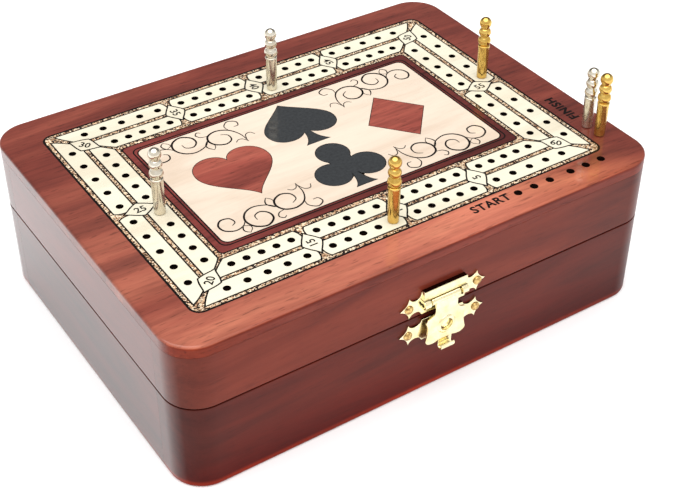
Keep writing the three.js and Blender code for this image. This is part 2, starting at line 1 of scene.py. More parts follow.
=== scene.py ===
"""Looks of a hinged cribbage box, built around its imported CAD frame.

The frame is in metres with +Z up and the clasp towards -Y. Sizes in this script are millimetres
from the centre of the board, and mesh_of() turns them into metres.
"""
import json
import random
from math import comb, cos, hypot, pi, radians, sin

import bpy
from mathutils import Matrix, Vector, geometry

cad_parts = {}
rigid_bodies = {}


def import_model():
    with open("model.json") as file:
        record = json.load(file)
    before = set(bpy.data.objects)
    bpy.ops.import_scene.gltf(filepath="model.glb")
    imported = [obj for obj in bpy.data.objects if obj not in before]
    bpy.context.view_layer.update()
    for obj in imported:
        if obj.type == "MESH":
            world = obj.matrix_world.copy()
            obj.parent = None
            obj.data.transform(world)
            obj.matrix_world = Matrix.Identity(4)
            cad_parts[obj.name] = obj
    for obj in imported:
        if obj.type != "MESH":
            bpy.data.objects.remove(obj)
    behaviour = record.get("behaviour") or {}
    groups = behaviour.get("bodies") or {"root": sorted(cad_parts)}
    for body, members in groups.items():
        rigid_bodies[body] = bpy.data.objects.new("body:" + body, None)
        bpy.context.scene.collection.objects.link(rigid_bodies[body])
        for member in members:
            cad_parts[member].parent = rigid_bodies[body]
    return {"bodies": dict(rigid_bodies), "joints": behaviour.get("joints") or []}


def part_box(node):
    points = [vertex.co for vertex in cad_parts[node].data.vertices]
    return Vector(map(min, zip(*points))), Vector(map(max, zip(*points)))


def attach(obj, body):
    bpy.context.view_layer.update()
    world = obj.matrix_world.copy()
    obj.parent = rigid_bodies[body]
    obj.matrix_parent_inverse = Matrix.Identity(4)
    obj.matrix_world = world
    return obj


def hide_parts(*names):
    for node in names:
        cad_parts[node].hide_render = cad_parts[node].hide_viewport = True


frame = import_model()
scene = bpy.context.scene
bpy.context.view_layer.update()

MM = 0.001
TURN = 2 * pi
QUARTER = pi / 2
EIGHTH = pi / 4


def box(name):
    """Lowest and highest corner of a CAD node."""
    low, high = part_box(name)
    return [value / MM for value in low], [value / MM for value in high]


def centre(name):
    """Middle of a CAD node's box."""
    return [(low + high) / 2 for low, high in zip(*box(name))]


# ---- sizes taken from the frame ----
DECK_LOW, DECK_HIGH = box("deck_board")
HALF_LENGTH, HALF_DEPTH, TOP = DECK_HIGH
SEAM_EXTRA = 0.17
BASE_TOP = box("base_front_wall")[1][2] - SEAM_EXTRA
LID_BOTTOM = box("lid_front_wall")[0][2] + SEAM_EXTRA
SEAM = (BASE_TOP + LID_BOTTOM) / 2
WALL_TOP = box("lid_front_wall")[1][2]
LONG_WALL = box("base_front_wall")[1][1] + HALF_DEPTH
END_WALL = box("base_left_wall")[1][0] + HALF_LENGTH
FRONT = -HALF_DEPTH
TRACK_HIGH = box("track_inlay")[1]
PANEL_HIGH = box("centre_panel")[1]
INLAY = TOP - box("track_inlay")[0][2]
SUIT = TOP - box("suit_spade")[0][2]
JOINTS = {joint["name"]: joint for joint in frame["joints"]}
HINGE_Y, HINGE_Z = [value / MM for value in JOINTS["lid_hinge"]["pos_m"]][1:]
CLASP_Y, CLASP_Z = [value / MM for value in JOINTS["clasp_swing"]["pos_m"]][1:]
CLASP_X = centre("clasp_lid_plate")[0]
CATCH_Z = centre("clasp_catch_plate")[2]

# ---- sizes of the board's pattern ----
CORNER = 13
GLUE_LINE = 0.1
DECK_EDGE = 4.6
EDGE_SOFT = 0.9
SEAM_SOFT = 0.2
FOOT_SOFT = 1.0
TRACK_CORNER = 4.4
TRACK_INNER = (65.1, 38.0)
TRACK_INNER_CORNER = 1.5
PANEL_CORNER = 2.8
HOLE = 1.45
START_HOLE = 1.6
HOLE_DEPTH = 9
HOLE_STEPS = 20
OUTER_ROW = (82.0, 55.13)
INNER_ROW = (71.6, 44.67)
PITCH = 6.35
MIDDLE_START = 5.3
END_START = 41.1
OUTER_END_PITCH = 7.87
INNER_END_PITCH = 5.96
SIDE_OUTER = (5.5, 10.0)
SIDE_INNER = (5.6, 8.06)
START_Y = -66
START_X = (42.5, 50.0, 57.5, 67.5, 75.0, 82.5)
FINISH_X = 93.2
FINISH_Y = (-46.1, -53.2)

OUTER_BAND = 2.7
STRIP = 7.9
MIDDLE_BAND = 2.4
LINE = 0.6
BORDER_LINE = 0.9
SUIT_LINE = 0.28
LAYER = 0.012
CORNER_SHIFT = TRACK_HIGH[0] - TRACK_HIGH[1]
PLAQUE_X = 35.9
PLAQUE_LENGTH = 5.9
PLAQUE_WIDTH = 3.8
CORNER_PLAQUE = (75.5, 48.5)
CAPITAL = 0.69


# ---- outlines, as lists of (x, y) that run anticlockwise ----
def arc(x, y, radius, start, end, steps):
    angles = [start + (end - start) * i / steps for i in range(steps + 1)]
    return [(x + radius * cos(a), y + radius * sin(a)) for a in angles]


def circle(x, y, radius, steps=HOLE_STEPS):
    return arc(x, y, radius, 0, TURN, steps)[:-1]


SQUARE = ((1, 1), (-1, 1), (-1, -1), (1, -1))


def rectangle(half_x, half_y, radius, steps=8):
    """A centred rectangle with round corners."""
    loop = []
    for i, (sx, sy) in enumerate(SQUARE):
        x, y = sx * (half_x - radius), sy * (half_y - radius)
        loop += arc(x, y, radius, i * QUARTER, (i + 1) * QUARTER, steps)
    return loop


def curve(corners, steps):
    """Points on a Bezier curve with these control points, without its last point."""
    degree = len(corners) - 1
    points = []
    for i in range(steps):
        t = i / steps
        weights = [comb(degree, k) * (1 - t) ** (degree - k) * t ** k
                   for k in range(degree + 1)]
        points.append(tuple(sum(w * p[k] for w, p in zip(weights, corners)) for k in (0, 1)))
    return points


def chain(start, *parts):
    """Curves end to end; a part is a number of steps and the control points after its start."""
    points = []
    for steps, *corners in parts:
        points += curve([start] + corners, steps)
        start = corners[-1]
    return points + [start]


def area(loop):
    return sum(a[0] * b[1] - b[0] * a[1] for a, b in zip(loop, loop[1:] + loop[:1])) / 2


def anticlockwise(loop):
    return loop if area(loop) > 0 else loop[::-1]


def mirrored(half):
    """A closed outline from its right half, which runs from one end of the axis to the other."""
    return anticlockwise(half + [(-x, y) for x, y in reversed(half) if abs(x) > 1e-6])


def grow(loop, distance):
    """The outline moved outwards by a distance, or inwards by a negative one."""
    grown = []
    for i, here in enumerate(loop):
        before, after = loop[i - 1], loop[(i + 1) % len(loop)]
        normals = []
        for (ax, ay), (bx, by) in ((before, here), (here, after)):
            length = hypot(bx - ax, by - ay) or 1
            normals.append(((by - ay) / length, (ax - bx) / length))
        (ax, ay), (bx, by) = normals
        scale = distance / max(0.35, 1 + ax * bx + ay * by)
        grown.append((here[0] + (ax + bx) * scale, here[1] + (ay + by) * scale))
    return grown


def placed(loop, x, y, angle=0):
    """The outline turned by an angle and moved to (x, y)."""
    c, s = cos(angle), sin(angle)
    return [(x + c * px - s * py, y + s * px + c * py) for px, py in loop]


def ribbon(points, width, thin=0.26):
    """A stroke along a line, widest in the middle and thin at its ends."""
    left, right = [], []
    last = len(points) - 1
    for i, (x, y) in enumerate(points):
        ax, ay = points[max(0, i - 1)]
        bx, by = points[min(last, i + 1)]
        length = hypot(bx - ax, by - ay)
        half = (thin + (width - thin) * abs(sin(pi * i / last)) ** 0.8) / 2
        nx, ny = (ay - by) / length * half, (bx - ax) / length * half
        left.append((x + nx, y + ny))
        right.append((x - nx, y - ny))
    return anticlockwise(left + right[::-1])


# ---- closed shells ----
SUPPORT = 0.04
SOFT_STEPS = 4


class Shell:
    """Points and faces of a piece in millimetres. Points that coincide are shared."""

    def __init__(self):
        self.points = []
        self.faces = []
        self.slots = []
        self.slot = 0
        self.known = {}

    def point(self, place):
        key = tuple(round(value, 4) for value in place)
        if key not in self.known:
            self.known[key] = len(self.points)
            self.points.append(place)
        return self.known[key]

    def face(self, corners):
        indices = [self.point(corner) for corner in corners]
        indices = [v for i, v in enumerate(indices) if v != indices[i - 1]]
        if len(set(indices)) > 2:
            self.faces.append(indices)
            self.slots.append(self.slot)

    def cap(self, loops, z, up=True):
        """A flat face with holes: the first outline is the outside, the others are cut out."""
        flat = [place for loop in loops for place in loop]
        lines = [[Vector((x, y, 0)) for x, y in loop] for loop in loops]
        for triangle in geometry.tessellate_polygon(lines):
            corners = [flat[i] for i in triangle]
            if (area(corners) > 0) != up:
                corners.reverse()
            self.face([(x, y, z) for x, y in corners])

    def wall(self, loop, profile, outward=True):
        """A side that follows an outline; the profile is a list of (inset, height)."""
        sign = -1 if outward else 1
        rings = [(grow(loop, sign * inset) if inset else loop, z) for inset, z in profile]
        for (low, low_z), (high, high_z) in zip(rings, rings[1:]):
            for i, (a, b) in enumerate(zip(low, high)):
                c, d = high[(i + 1) % len(high)], low[(i + 1) % len(low)]
                quad = [(*a, low_z), (*d, low_z), (*c, high_z), (*b, high_z)]
                self.face(quad if outward else quad[::-1])
        return rings[0][0], rings[-1][0]

    def slab(self, outline, bottom, top, holes=(), soft=(0, 0), hole_soft=0):
        """A plate with softened edges and with holes right through it."""
        first, last = self.wall(outline, soft_edge(bottom, top, soft))
        low, high = [first], [last]
        for hole in holes:
            first, last = self.wall(hole, soft_edge(bottom, top, (hole_soft, hole_soft)), False)
            low.append(first)
            high.append(last)
        self.cap(low, bottom, up=False)
        self.cap(high, top)
        return self

    def lathe(self, profile, x=0, y=0, steps=32):
        """A turned piece about a vertical line, from (radius, height) points going up."""
        rings = [[(px, py, z) for px, py in circle(x, y, radius, steps)] if radius
                 else [(x, y, z)] * steps for radius, z in profile]
        for low, high in zip(rings, rings[1:]):
            for i in range(steps):
                j = (i + 1) % steps
                self.face([low[i], low[j], high[j], high[i]])
        return self


def rounding(soft, edge, way):
    """Profile from a flat face round to the side; way is 1 where the side goes up from it."""
    turns = [QUARTER * i / SOFT_STEPS for i in range(SOFT_STEPS + 1)]
    bend = [(soft * (1 - sin(a)), edge + way * soft * (1 - cos(a))) for a in turns]
    return [(soft + SUPPORT, edge)] + bend + [(0, edge + way * (soft + SUPPORT))]


def soft_edge(bottom, top, soft):
    """Side profile of a plate as (inset, height), with its bottom and top edge softened."""
    low = rounding(soft[0], bottom, 1) if soft[0] else [(0, bottom)]
    high = rounding(soft[1], top, -1)[::-1] if soft[1] else [(0, top)]
    return low + high


def box_shell(low, high):
    corners = [(low[0], low[1]), (high[0], low[1]), (high[0], high[1]), (low[0], high[1])]
    return Shell().slab(corners, low[2], high[2])


# A place is a turn and an origin. Local z turns to the front, or to the right along X.
FACING_FRONT = Matrix(((1, 0, 0), (0, 0, -1), (0, 1, 0)))
ALONG_X = Matrix(((0, 0, 1), (1, 0, 0), (0, 1, 0)))
UPRIGHT = Matrix.Identity(3)
AS_DRAWN = (UPRIGHT, (0, 0, 0))
ON_FRONT = (FACING_FRONT, (CLASP_X, FRONT, 0))
ON_CLASP_BAR = (ALONG_X, (CLASP_X, CLASP_Y, CLASP_Z))


def mesh_of(name, shell, turn, origin):
    """The shell as a mesh in metres."""
    mesh = bpy.data.meshes.new(name)
    places = [(turn @ Vector(point) + Vector(origin)) * MM for point in shell.points]
    mesh.from_pydata(places, [], shell.faces)
    return mesh


def show(name, data):
    """Adds an object to the scene."""
    thing = bpy.data.objects.new(name, data)
    scene.collection.objects.link(thing)
    return thing


def smooth(mesh, sharp=40):
    mesh.shade_smooth()
    mesh.set_sharp_from_angle(angle=radians(sharp))


def adopt(name, mesh, body):
    """Adds a mesh to the scene as a piece that rides on a CAD body."""
    piece = show(name, mesh)
    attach(piece, body)
    return piece


def make(name, shell, material, body, place=AS_DRAWN, sharp=40):
    """Turns a shell into a piece of the object."""
    mesh = mesh_of(name, shell, *place)
    mesh.materials.append(material)
    if any(shell.slots):
        mesh.materials.append(HOLE_WOOD)
        mesh.polygons.foreach_set("material_index", shell.slots)
    smooth(mesh, sharp)
    return adopt(name, mesh, body)


def remake(node, shell, material, body, place=AS_DRAWN, sharp=40):
    """A finer piece that replaces a CAD node."""
    piece = make("fine_" + node, shell, material, body, place, sharp)
    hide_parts(node)
    return piece


def evaluated_mesh(thing):
    graph = bpy.context.evaluated_depsgraph_get()
    return bpy.data.meshes.new_from_object(thing.evaluated_get(graph))


def cut(piece, tools, operation="DIFFERENCE"):
    """Cuts scratch shells out of a piece, or joins them to it, and keeps the result as its mesh."""
    for shell, (turn, origin) in tools:
        tool = show("tool", mesh_of("tool", shell, turn, origin))
        modifier = piece.modifiers.new("cut", "BOOLEAN")
        modifier.operation = operation
        modifier.solver = "EXACT"
        modifier.object = tool
        result = evaluated_mesh(piece)
        piece.modifiers.clear()
        piece.data = result
        bpy.data.objects.remove(tool)
    smooth(piece.data)


# ---- materials ----
def srgb(red, green, blue):
    """Linear colour from 0-255 display values."""
    def linear(value):
        value /= 255
        return value / 12.92 if value <= 0.04045 else ((value + 0.055) / 1.055) ** 2.4
    return (linear(red), linear(green), linear(blue), 1)


def tones(*colours):
    return tuple(srgb(*colour) for colour in colours)


def grey(value):
    return (value, value, value, 1)


class Nodes:
    """The shader nodes of a new material or world."""

    def __init__(self, owner, shader="Principled BSDF"):
        self.material = owner
        owner.use_nodes = True
        self.tree = owner.node_tree
        self.shader = self.tree.nodes[shader]

    def add(self, kind, inputs=None, **settings):
        node = self.tree.nodes.new("ShaderNode" + kind)
        for key, value in settings.items():
            setattr(node, key, value)
        for key, value in (inputs or {}).items():
            self.feed(node.inputs[key], value)
        return node

    def feed(self, socket, value):
        if isinstance(value, bpy.types.NodeSocket):
            self.tree.links.new(value, socket)
        else:
            socket.default_value = value

    def set(self, **values):
        for key, value in values.items():
            self.feed(self.shader.inputs[key.replace("_", " ")], value)

    def colour(self):
        return self.shader.inputs["Base Color"].links[0].from_socket

    def place(self, scale=(1, 1, 1), shift=(0, 0, 0)):
        """Position on the piece, stretched by a scale for each axis, in cycles per metre."""
        position = self.add("TexCoord").outputs["Object"]
        return self.add("Mapping", {"Vector": position, "Location": shift,
                                    "Scale": scale}).outputs["Vector"]

    def axes(self):
        """X, Y and Z of the position on the piece, in millimetres."""
        return self.add("SeparateXYZ", {"Vector": self.place((1 / MM,) * 3)}).outputs

    def noise(self, vector, scale=1.0, detail=3.0, rough=0.5, twist=0.0):
        return self.add("TexNoise", {"Vector": vector, "Scale": scale, "Detail": detail,
                                     "Roughness": rough, "Distortion": twist}).outputs["Fac"]

    def ramp(self, value, stops):
        node = self.add("ValToRGB", {"Fac": value})
        ends = node.color_ramp.elements
        for position, colour in stops[1:-1]:
            ends.new(position).color = colour
        ends[0].position, ends[0].color = stops[0]
        ends[len(ends) - 1].position, ends[len(ends) - 1].color = stops[-1]
        return node.outputs["Color"]

    def greys(self, value, start, end, low, high):
        """A ramp between two greys."""
        return self.ramp(value, [(start, grey(low)), (end, grey(high))])

    def fade(self, value, start, end, low=0.0, high=1.0):
        """A share that goes from low to high as the value goes from start to end."""
        return self.add("MapRange", {"Value": value, "From Min": start, "From Max": end,
                                     "To Min": low, "To Max": high}).outputs["Result"]

    def mix(self, factor, a, b, blend="MIX"):
        return self.add("Mix", {0: factor, 6: a, 7: b}, data_type="RGBA",
                        blend_type=blend).outputs[2]

    def times(self, first, *others):
        for other in others:
            first = self.mix(1.0, first, other, "MULTIPLY")
        return first

    def tinted(self, share, colour, tint):
        """The colour, multiplied by a tint where the share is 1."""
        return self.mix(share, colour, self.times(colour, tint))

    def bump(self, height, distance, strength):
        return self.add("Bump", {"Height": height, "Distance": distance * MM,
                                 "Strength": strength}).outputs["Normal"]


def new_material(name):
    return Nodes(bpy.data.materials.new(name))


def wood(name, axis, shades, shift=0.0, coat=1.0, coat_ior=1.5, figure=1.0):
    """Lacquered hardwood with its grain along one axis: 0 for X, 1 for Y."""
    n = new_material(name)
    pale, middle, dark = shades

    def grain(along, across, **settings):
        scale = [along if i == axis else across for i in range(3)]
        return n.noise(n.place(scale, (shift, shift * 1.7, shift * 0.6)), **settings)

    colour = n.ramp(grain(9, 60, detail=5, rough=0.6, twist=0.8),
                    [(0.32, dark), (0.5, middle), (0.7, pale)])
    streak = n.greys(grain(40, 520, detail=5, rough=0.65), 0.35, 0.58, 0.66, 1.08)
    speck = n.greys(grain(150, 1100, detail=2), 0.31, 0.39, 0.42, 1.0)
    shade = n.greys(grain(14, 26, detail=2), 0.3, 0.7, 0.84, 1.14)
    for share, layer in ((0.7, streak), (0.7, speck), (0.8, shade)):
        colour = n.mix(share * figure, colour, layer, "MULTIPLY")
    n.set(Base_Color=colour, Roughness=0.35, Specular_IOR_Level=0.1, Coat_Weight=coat,
          Coat_IOR=coat_ior, Coat_Roughness=0.07, Normal=n.bump(speck, 0.012, 0.4))
    return n


DECK_TONES = tones((138, 68, 54), (117, 52, 42), (88, 37, 31))
SURROUND_TONES = tones((112, 48, 42), (94, 38, 34), (70, 26, 24))
SUIT_TONES = tones((171, 90, 74), (143, 67, 56), (104, 45, 39))
LID_TONES = tones((124, 52, 37), (110, 43, 30), (93, 35, 26))
BASE_TONES = tones((104, 35, 23), (92, 30, 20), (75, 23, 16))
END_TONES = tones((92, 34, 26), (74, 26, 20), (52, 18, 14))
HOLE_TONES = tones((52, 30, 24), (38, 22, 18), (24, 14, 12))
STRIP_TONES = tones((230, 223, 202), (225, 218, 196), (214, 203, 180))
PANEL_TONES = tones((228, 211, 192), (221, 203, 184), (208, 187, 166))

# Tints multiply the colour of the wood.
# The two deck tints are painted light on the deck's top face.
PAINTED_LIGHT_LEFT = (2.65, 4.1, 3.8, 1)
PAINTED_LIGHT_RIGHT = (2.65, 3.7, 2.7, 1)
NOSE_TINT = (0.76, 0.36, 0.15, 1)
SURROUND_TINT = (1.8, 2.0, 2.0, 1)
# Painted shade: darkens the rounded front-left corner of the long walls, standing in for the dark
# band it reflects.
CORNER_PAINTED_SHADE = (0.5, 0.55, 0.55, 1)
FOOT_TINT = (0.72, 0.19, 0.09, 1)
# Painted light: the walls' foot edge lit orange, standing in for light bounced up from the floor.
FOOT_PAINTED_GLOW = (2.8, 5.2, 3.0, 1)


def deck_wood():
    """The deck's boards: dark red, with painted light that makes the top face lighter along the
    front, and a redder rim there. The lacquer thins out where the top bends down to the front."""
    n = wood("deck_redwood", 0, DECK_TONES, coat=0.8, figure=0.85)
    x, y, z = n.axes()
    # Painted light: a pool of light on the top face along the front, weaker to the left and fading
    # out at the right end, with a lighter patch at the left end. The height mask keeps it off the
    # edges.
    line = n.add("Math", {0: y, 1: n.fade(x, 30, 100, 0.0, 12.0)}).outputs["Value"]
    front = n.fade(line, -62, -48, 1.0, 0.0)
    length = n.fade(x, -90, 0, 0.48, 1.0)
    end = n.fade(x, 62, 96, 1.0, 0.1)
    height = n.fade(z, TOP - 1.0, TOP - 0.4)
    cloud = n.greys(n.noise(n.place((5, 30, 30))), 0.3, 0.7, 0.75, 1.0)
    left_end = n.times(n.fade(x, -85, -70, 0.44, 0.0), n.fade(y, 40, -30),
                       n.fade(y, -36, -48, 1.0, 0.1))
    painted_light = n.mix(1.0, n.times(cloud, front, length, end, height), left_end, "ADD")
    tint = n.mix(n.fade(x, 30, 80), PAINTED_LIGHT_LEFT, PAINTED_LIGHT_RIGHT)
    board = n.tinted(painted_light, n.colour(), tint)
    board = n.mix(n.fade(x, -101.5, -103, 0.0, 0.25), board, grey(0.0))
    nose = n.times(n.fade(y, -62, -70), n.fade(z, TOP - 0.8, TOP - 0.4, 1.0, 0.0))
    left_corner = n.fade(x, -90, -60, 0.8, 0.1)
    rim = n.times(nose, n.mix(1.0, n.fade(z, TOP - 2.2, TOP - 1.3), left_corner, "LIGHTEN"))
    bent = n.times(n.fade(y, -65, -69), n.fade(z, TOP - 0.03, TOP - 0.2))
    bare = n.mix(1.0, n.fade(y, -74.4, -75.2), bent, "LIGHTEN")
    n.set(Base_Color=n.tinted(rim, board, NOSE_TINT), Coat_Weight=n.fade(bare, 0.0, 1.0, 0.8, 0.06))
    return n.material


def surround_wood():
    """The veneer between the track and the panel, lighter to the left."""
    n = wood("surround_redwood", 0, SURROUND_TONES, 0.71, coat=0.6)
    left = n.fade(n.axes()["X"], -55, 20, 0.7, 0.0)
    n.set(Base_Color=n.tinted(left, n.colour(), SURROUND_TINT))
    return n.material


def wall_wood(name, axis, shades, shift, foot, coat_ior=1.4):
    """Wood of the walls, redder along the foot, with a painted glow of floor light on the foot
    edge.
    The long walls have painted shade on their rounded left corner and are darker to the right,
    and only their left corner is glossy."""
    n = wood(name, axis, shades, shift, coat_ior=coat_ior, figure=0.36)
    x, _, z = n.axes()
    low = n.fade(z, 3, 22, foot, 0.0)
    deep, gloss = n.colour(), 1.0
    if axis == 0:
        # Painted shade on the rounded left corner of the long walls, standing in for a dark
        # reflection.
        corner = n.times(n.fade(x, -101.5, -84, 0.8, 0.0), n.fade(z, 2, 14))
        deep = n.tinted(corner, deep, CORNER_PAINTED_SHADE)
        deep = n.mix(n.fade(x, 50, 100, 0.0, 0.3), deep, grey(0.0))
        gloss = n.mix(n.fade(x, -102.8, -100.4), grey(1.0), n.fade(low, 0.0, 1.0, 0.17, 0.01))
    # Painted glow: the bottom edge lit orange, as by light bounced up from the floor.
    edge = n.fade(z, 1.8, 3, foot, 0.0)
    n.set(Base_Color=n.tinted(edge, n.tinted(low, deep, FOOT_TINT), FOOT_PAINTED_GLOW),
          Coat_Weight=gloss)
    return n.material


def ink(name, colour, rough=0.3, coat=0.6):
    """Dyed veneer or print under lacquer, with a faint uneven tone."""
    n = new_material(name)
    tone = n.greys(n.noise(n.place((900, 900, 900))), 0.3, 0.7, 0.75, 1.15)
    n.set(Base_Color=n.times(colour, tone), Roughness=rough, Specular_IOR_Level=0.1,
          Coat_Weight=coat, Coat_Roughness=0.07)
    return n.material


def speckled():
    """Granular band: tan ground with dark and cream grains, like crushed stone under lacquer."""
    n = new_material("speckled_band")
    cells = n.add("TexVoronoi", {"Vector": n.place(), "Scale": 2000.0, "Randomness": 1.0})
    grain = n.add("SeparateColor", {"Color": cells.outputs["Color"]}).outputs["Red"]
    stops = (0.0, 0.34, 0.42, 0.66, 1.0)
    colours = tones((10, 7, 6), (48, 30, 22), (158, 114, 82), (212, 176, 138), (246, 230, 202))
    tone = n.ramp(grain, list(zip(stops, colours)))
    drift = n.greys(n.noise(n.place(), 350, detail=2), 0.35, 0.65, 0.7, 1.15)
    n.set(Base_Color=n.mix(0.8, tone, drift, "MULTIPLY"), Roughness=0.4, Coat_Weight=1.0,
          Specular_IOR_Level=0.1, Coat_Roughness=0.08)
    return n.material


SHANK_TOP = (14.4, 15.2)


def metal(name, colours, rough, wave=0.0, patch=260, satin=1.0, painted_top_shade=False):
    """Polished metal with faint handling marks: satin roughens a peg's shank, and painted_top_shade
    paints shade on the up-facing faces of a plate, standing in for the dark line along its top
    edge."""
    n = new_material(name)
    smear = n.noise(n.place(), patch, detail=4, rough=0.6)
    marks = n.noise(n.place((400, 400, 2200)), detail=2, rough=0.6)
    tone = n.mix(n.greys(smear, 0.35, 0.7, 0, 1), *tones(*colours))
    if painted_top_shade:
        # Painted shade: up-facing faces darkened, standing in for the shadow and dark reflection
        # along a plate's top edge.
        normal = n.add("TexCoord").outputs["Normal"]
        up = n.add("SeparateXYZ", {"Vector": normal}).outputs["Z"]
        tone = n.mix(n.fade(up, 0.8, 0.97), tone, srgb(60, 36, 26))
    shank = n.fade(n.axes()["Z"], TOP + SHANK_TOP[0], TOP + SHANK_TOP[1], satin, 1.0)
    n.set(Base_Color=tone, Metallic=n.fade(shank, 1.0, 3.0, 1.0, 0.6),
          Roughness=n.times(n.greys(marks, 0.3, 0.7, rough * 0.8, rough * 1.3), shank))
    if wave:
        n.set(Normal=n.bump(n.noise(n.place(), 420, detail=2), wave, 0.6))
    return n.material


def felt_cloth():
    n = new_material("felt")
    fuzz = n.noise(n.place(), 2600, detail=4, rough=0.7)
    tuft = n.greys(n.noise(n.place(), 420), 0.3, 0.7, 0.75, 1.2)
    tone = n.ramp(fuzz, [(0.3, srgb(18, 48, 34)), (0.7, srgb(44, 92, 64))])
    n.set(Base_Color=n.mix(0.6, tone, tuft, "MULTIPLY"), Roughness=0.95, Sheen_Weight=0.5,
          Sheen_Roughness=0.4, Normal=n.bump(fuzz, 0.25, 0.8))
    return n.material


BRASS_COLOURS = ((252, 244, 206), (240, 222, 168))

DECK_WOOD = deck_wood()
SUIT_WOOD = wood("suit_redwood", 0, SUIT_TONES, 0.47, coat=0.8).material
LID_LONG_WOOD = wall_wood("lid_long_redwood", 0, LID_TONES, 0.83, 0.0)
LONG_WOOD = wall_wood("base_long_redwood", 0, BASE_TONES, 0.37, 1.0)
LID_END_WOOD = wall_wood("lid_end_redwood", 1, BASE_TONES, 0.19, 0.0, 1.42)
END_WOOD = wall_wood("base_end_redwood", 1, END_TONES, 0.59, 0.8, 1.4)
SURROUND_WOOD = surround_wood()
HOLE_WOOD = wood("hole_wood", 0, HOLE_TONES, 0.13, coat=0.1).material
INSIDE_WOOD = wood("inside_redwood", 1, LID_TONES, 0.91, coat=0.5).material
STRIP_MAPLE = wood("strip_maple", 0, STRIP_TONES, 0.31, coat=0.7, figure=0.12).material
PANEL_MAPLE = wood("panel_maple", 0, PANEL_TONES, 0.77, coat=0.7, figure=0.12).material
BLACK = ink("black_line", srgb(18, 13, 12), coat=0.2)
CHARCOAL = ink("black_veneer", srgb(50, 52, 54), 0.35)
SPECKLE = speckled()
BRASS = metal("stamped_brass", BRASS_COLOURS, 0.2, wave=0.04)
NAIL_BRASS = metal("nail_brass", ((240, 206, 136), (118, 74, 30)), 0.3, wave=0.3, patch=900)
HINGE_BRASS = metal("rolled_brass", ((226, 196, 120), (196, 160, 86)), 0.24)
PLATE_BRASS = metal("brass_painted_top_shade", BRASS_COLOURS, 0.2, wave=0.04, painted_top_shade=True)
SILVER = metal("nickel_plate", ((226, 220, 206), (206, 194, 172)), 0.12, satin=1.6)
GOLD = metal("gold_plate", ((226, 190, 106), (196, 154, 72)), 0.11, satin=1.6)
FELT = felt_cloth()


# ---- peg hole places ----
def run(start, pitch):
    """Five steps on each side of the middle."""
    steps = [start + i * pitch for i in range(5)]
    return [-step for step in steps] + steps


def track_holes():
    places = []
    for side in (-1, 1):
        for row, end_pitch in ((OUTER_ROW, OUTER_END_PITCH), (INNER_ROW, INNER_END_PITCH)):
            for start, pitch in ((MIDDLE_START, PITCH), (END_START, end_pitch)):
                places += [(x, side * row[1]) for x in run(start, pitch)]
        for row, spacing in ((OUTER_ROW, SIDE_OUTER), (INNER_ROW, SIDE_INNER)):
            places += [(side * row[0], y) for y in run(*spacing)]
    return places


def bores(places, radius=HOLE):
    return [circle(x, y, radius) for x, y in places]


START_HOLES = bores([(x, START_Y) for x in START_X], START_HOLE)
FINISH_HOLES = bores([(FINISH_X, y) for y in FINISH_Y], START_HOLE)
BORE_BOTTOM = TOP - HOLE_DEPTH
TRACK_PLACES = track_holes()
TRACK_HOLES = bores(TRACK_PLACES)
TRACK_OUTLINE = rectangle(TRACK_HIGH[0], TRACK_HIGH[1], TRACK_CORNER)
TRACK_OPENING = rectangle(*TRACK_INNER, TRACK_INNER_CORNER, 4)


def bore_holes(shell, loops, bottom, top, blind=True):
    """Sides, and bottoms where the holes end in the wood, in the darker second material."""
    shell.slot = 1
    for loop in loops:
        shell.wall(loop, [(0, bottom), (0, top)], outward=False)
        if blind:
            shell.cap([loop], bottom)
    shell.slot = 0


# ---- deck ----
def build_deck():
    """Rabbeted top board: pockets for the inlays, bores for the pegs, a soft top edge."""
    shell = Shell()
    edge = TOP - DECK_EDGE
    floor = TOP - INLAY
    outline = rectangle(HALF_LENGTH, HALF_DEPTH, CORNER, 16)
    core = rectangle(HALF_LENGTH - END_WALL - GLUE_LINE, HALF_DEPTH - LONG_WALL - GLUE_LINE, 0.5, 2)
    panel = rectangle(PANEL_HIGH[0] + LINE, PANEL_HIGH[1] + LINE, PANEL_CORNER + LINE)
    through = START_HOLES + FINISH_HOLES
    low, high = shell.wall(outline, soft_edge(edge, TOP, (0, EDGE_SOFT)))
    shell.cap([high, TRACK_OUTLINE] + through, TOP)
    shell.cap([TRACK_OPENING, panel], TOP)
    for pocket in (TRACK_OUTLINE, panel):
        shell.wall(pocket, [(0, floor), (0, TOP)], outward=False)
    shell.wall(TRACK_OPENING, [(0, floor), (0, TOP)])
    shell.cap([TRACK_OUTLINE, TRACK_OPENING] + TRACK_HOLES, floor)
    shell.cap([panel], floor)
    bore_holes(shell, TRACK_HOLES, BORE_BOTTOM, floor)
    bore_holes(shell, through, edge, TOP, blind=False)
    shell.cap([low, core] + through, edge, up=False)
    shell.wall(core, [(0, DECK_LOW[2]), (0, edge)])
    shell.cap([core], DECK_LOW[2], up=False)
    remake("deck_board", shell, DECK_WOOD, "lid")


# ---- track inlay ----
STRIP_OUTER = (TRACK_HIGH[0] - OUTER_BAND, TRACK_HIGH[1] - OUTER_BAND)
NECK_WIDE = 2.4
NECK_NARROW = 1.25
NECK_LENGTH = 4.2
MITRE_GAP = 1.45
MITRE_GAP_OUTSIDE = 3.0


def plaque_end(t_middle, t_edge, at, direction):
    """Strip end beside a plaque, from the middle band to the outer edge of the strip."""
    away = 1 if t_edge > t_middle else -1
    a = at + direction * NECK_NARROW
    b = at + direction * NECK_WIDE
    flare = (6, (a, t_edge - away * 1.4), (b, t_edge))
    return [(a, t_middle)] + chain((a, t_edge - away * NECK_LENGTH), flare)


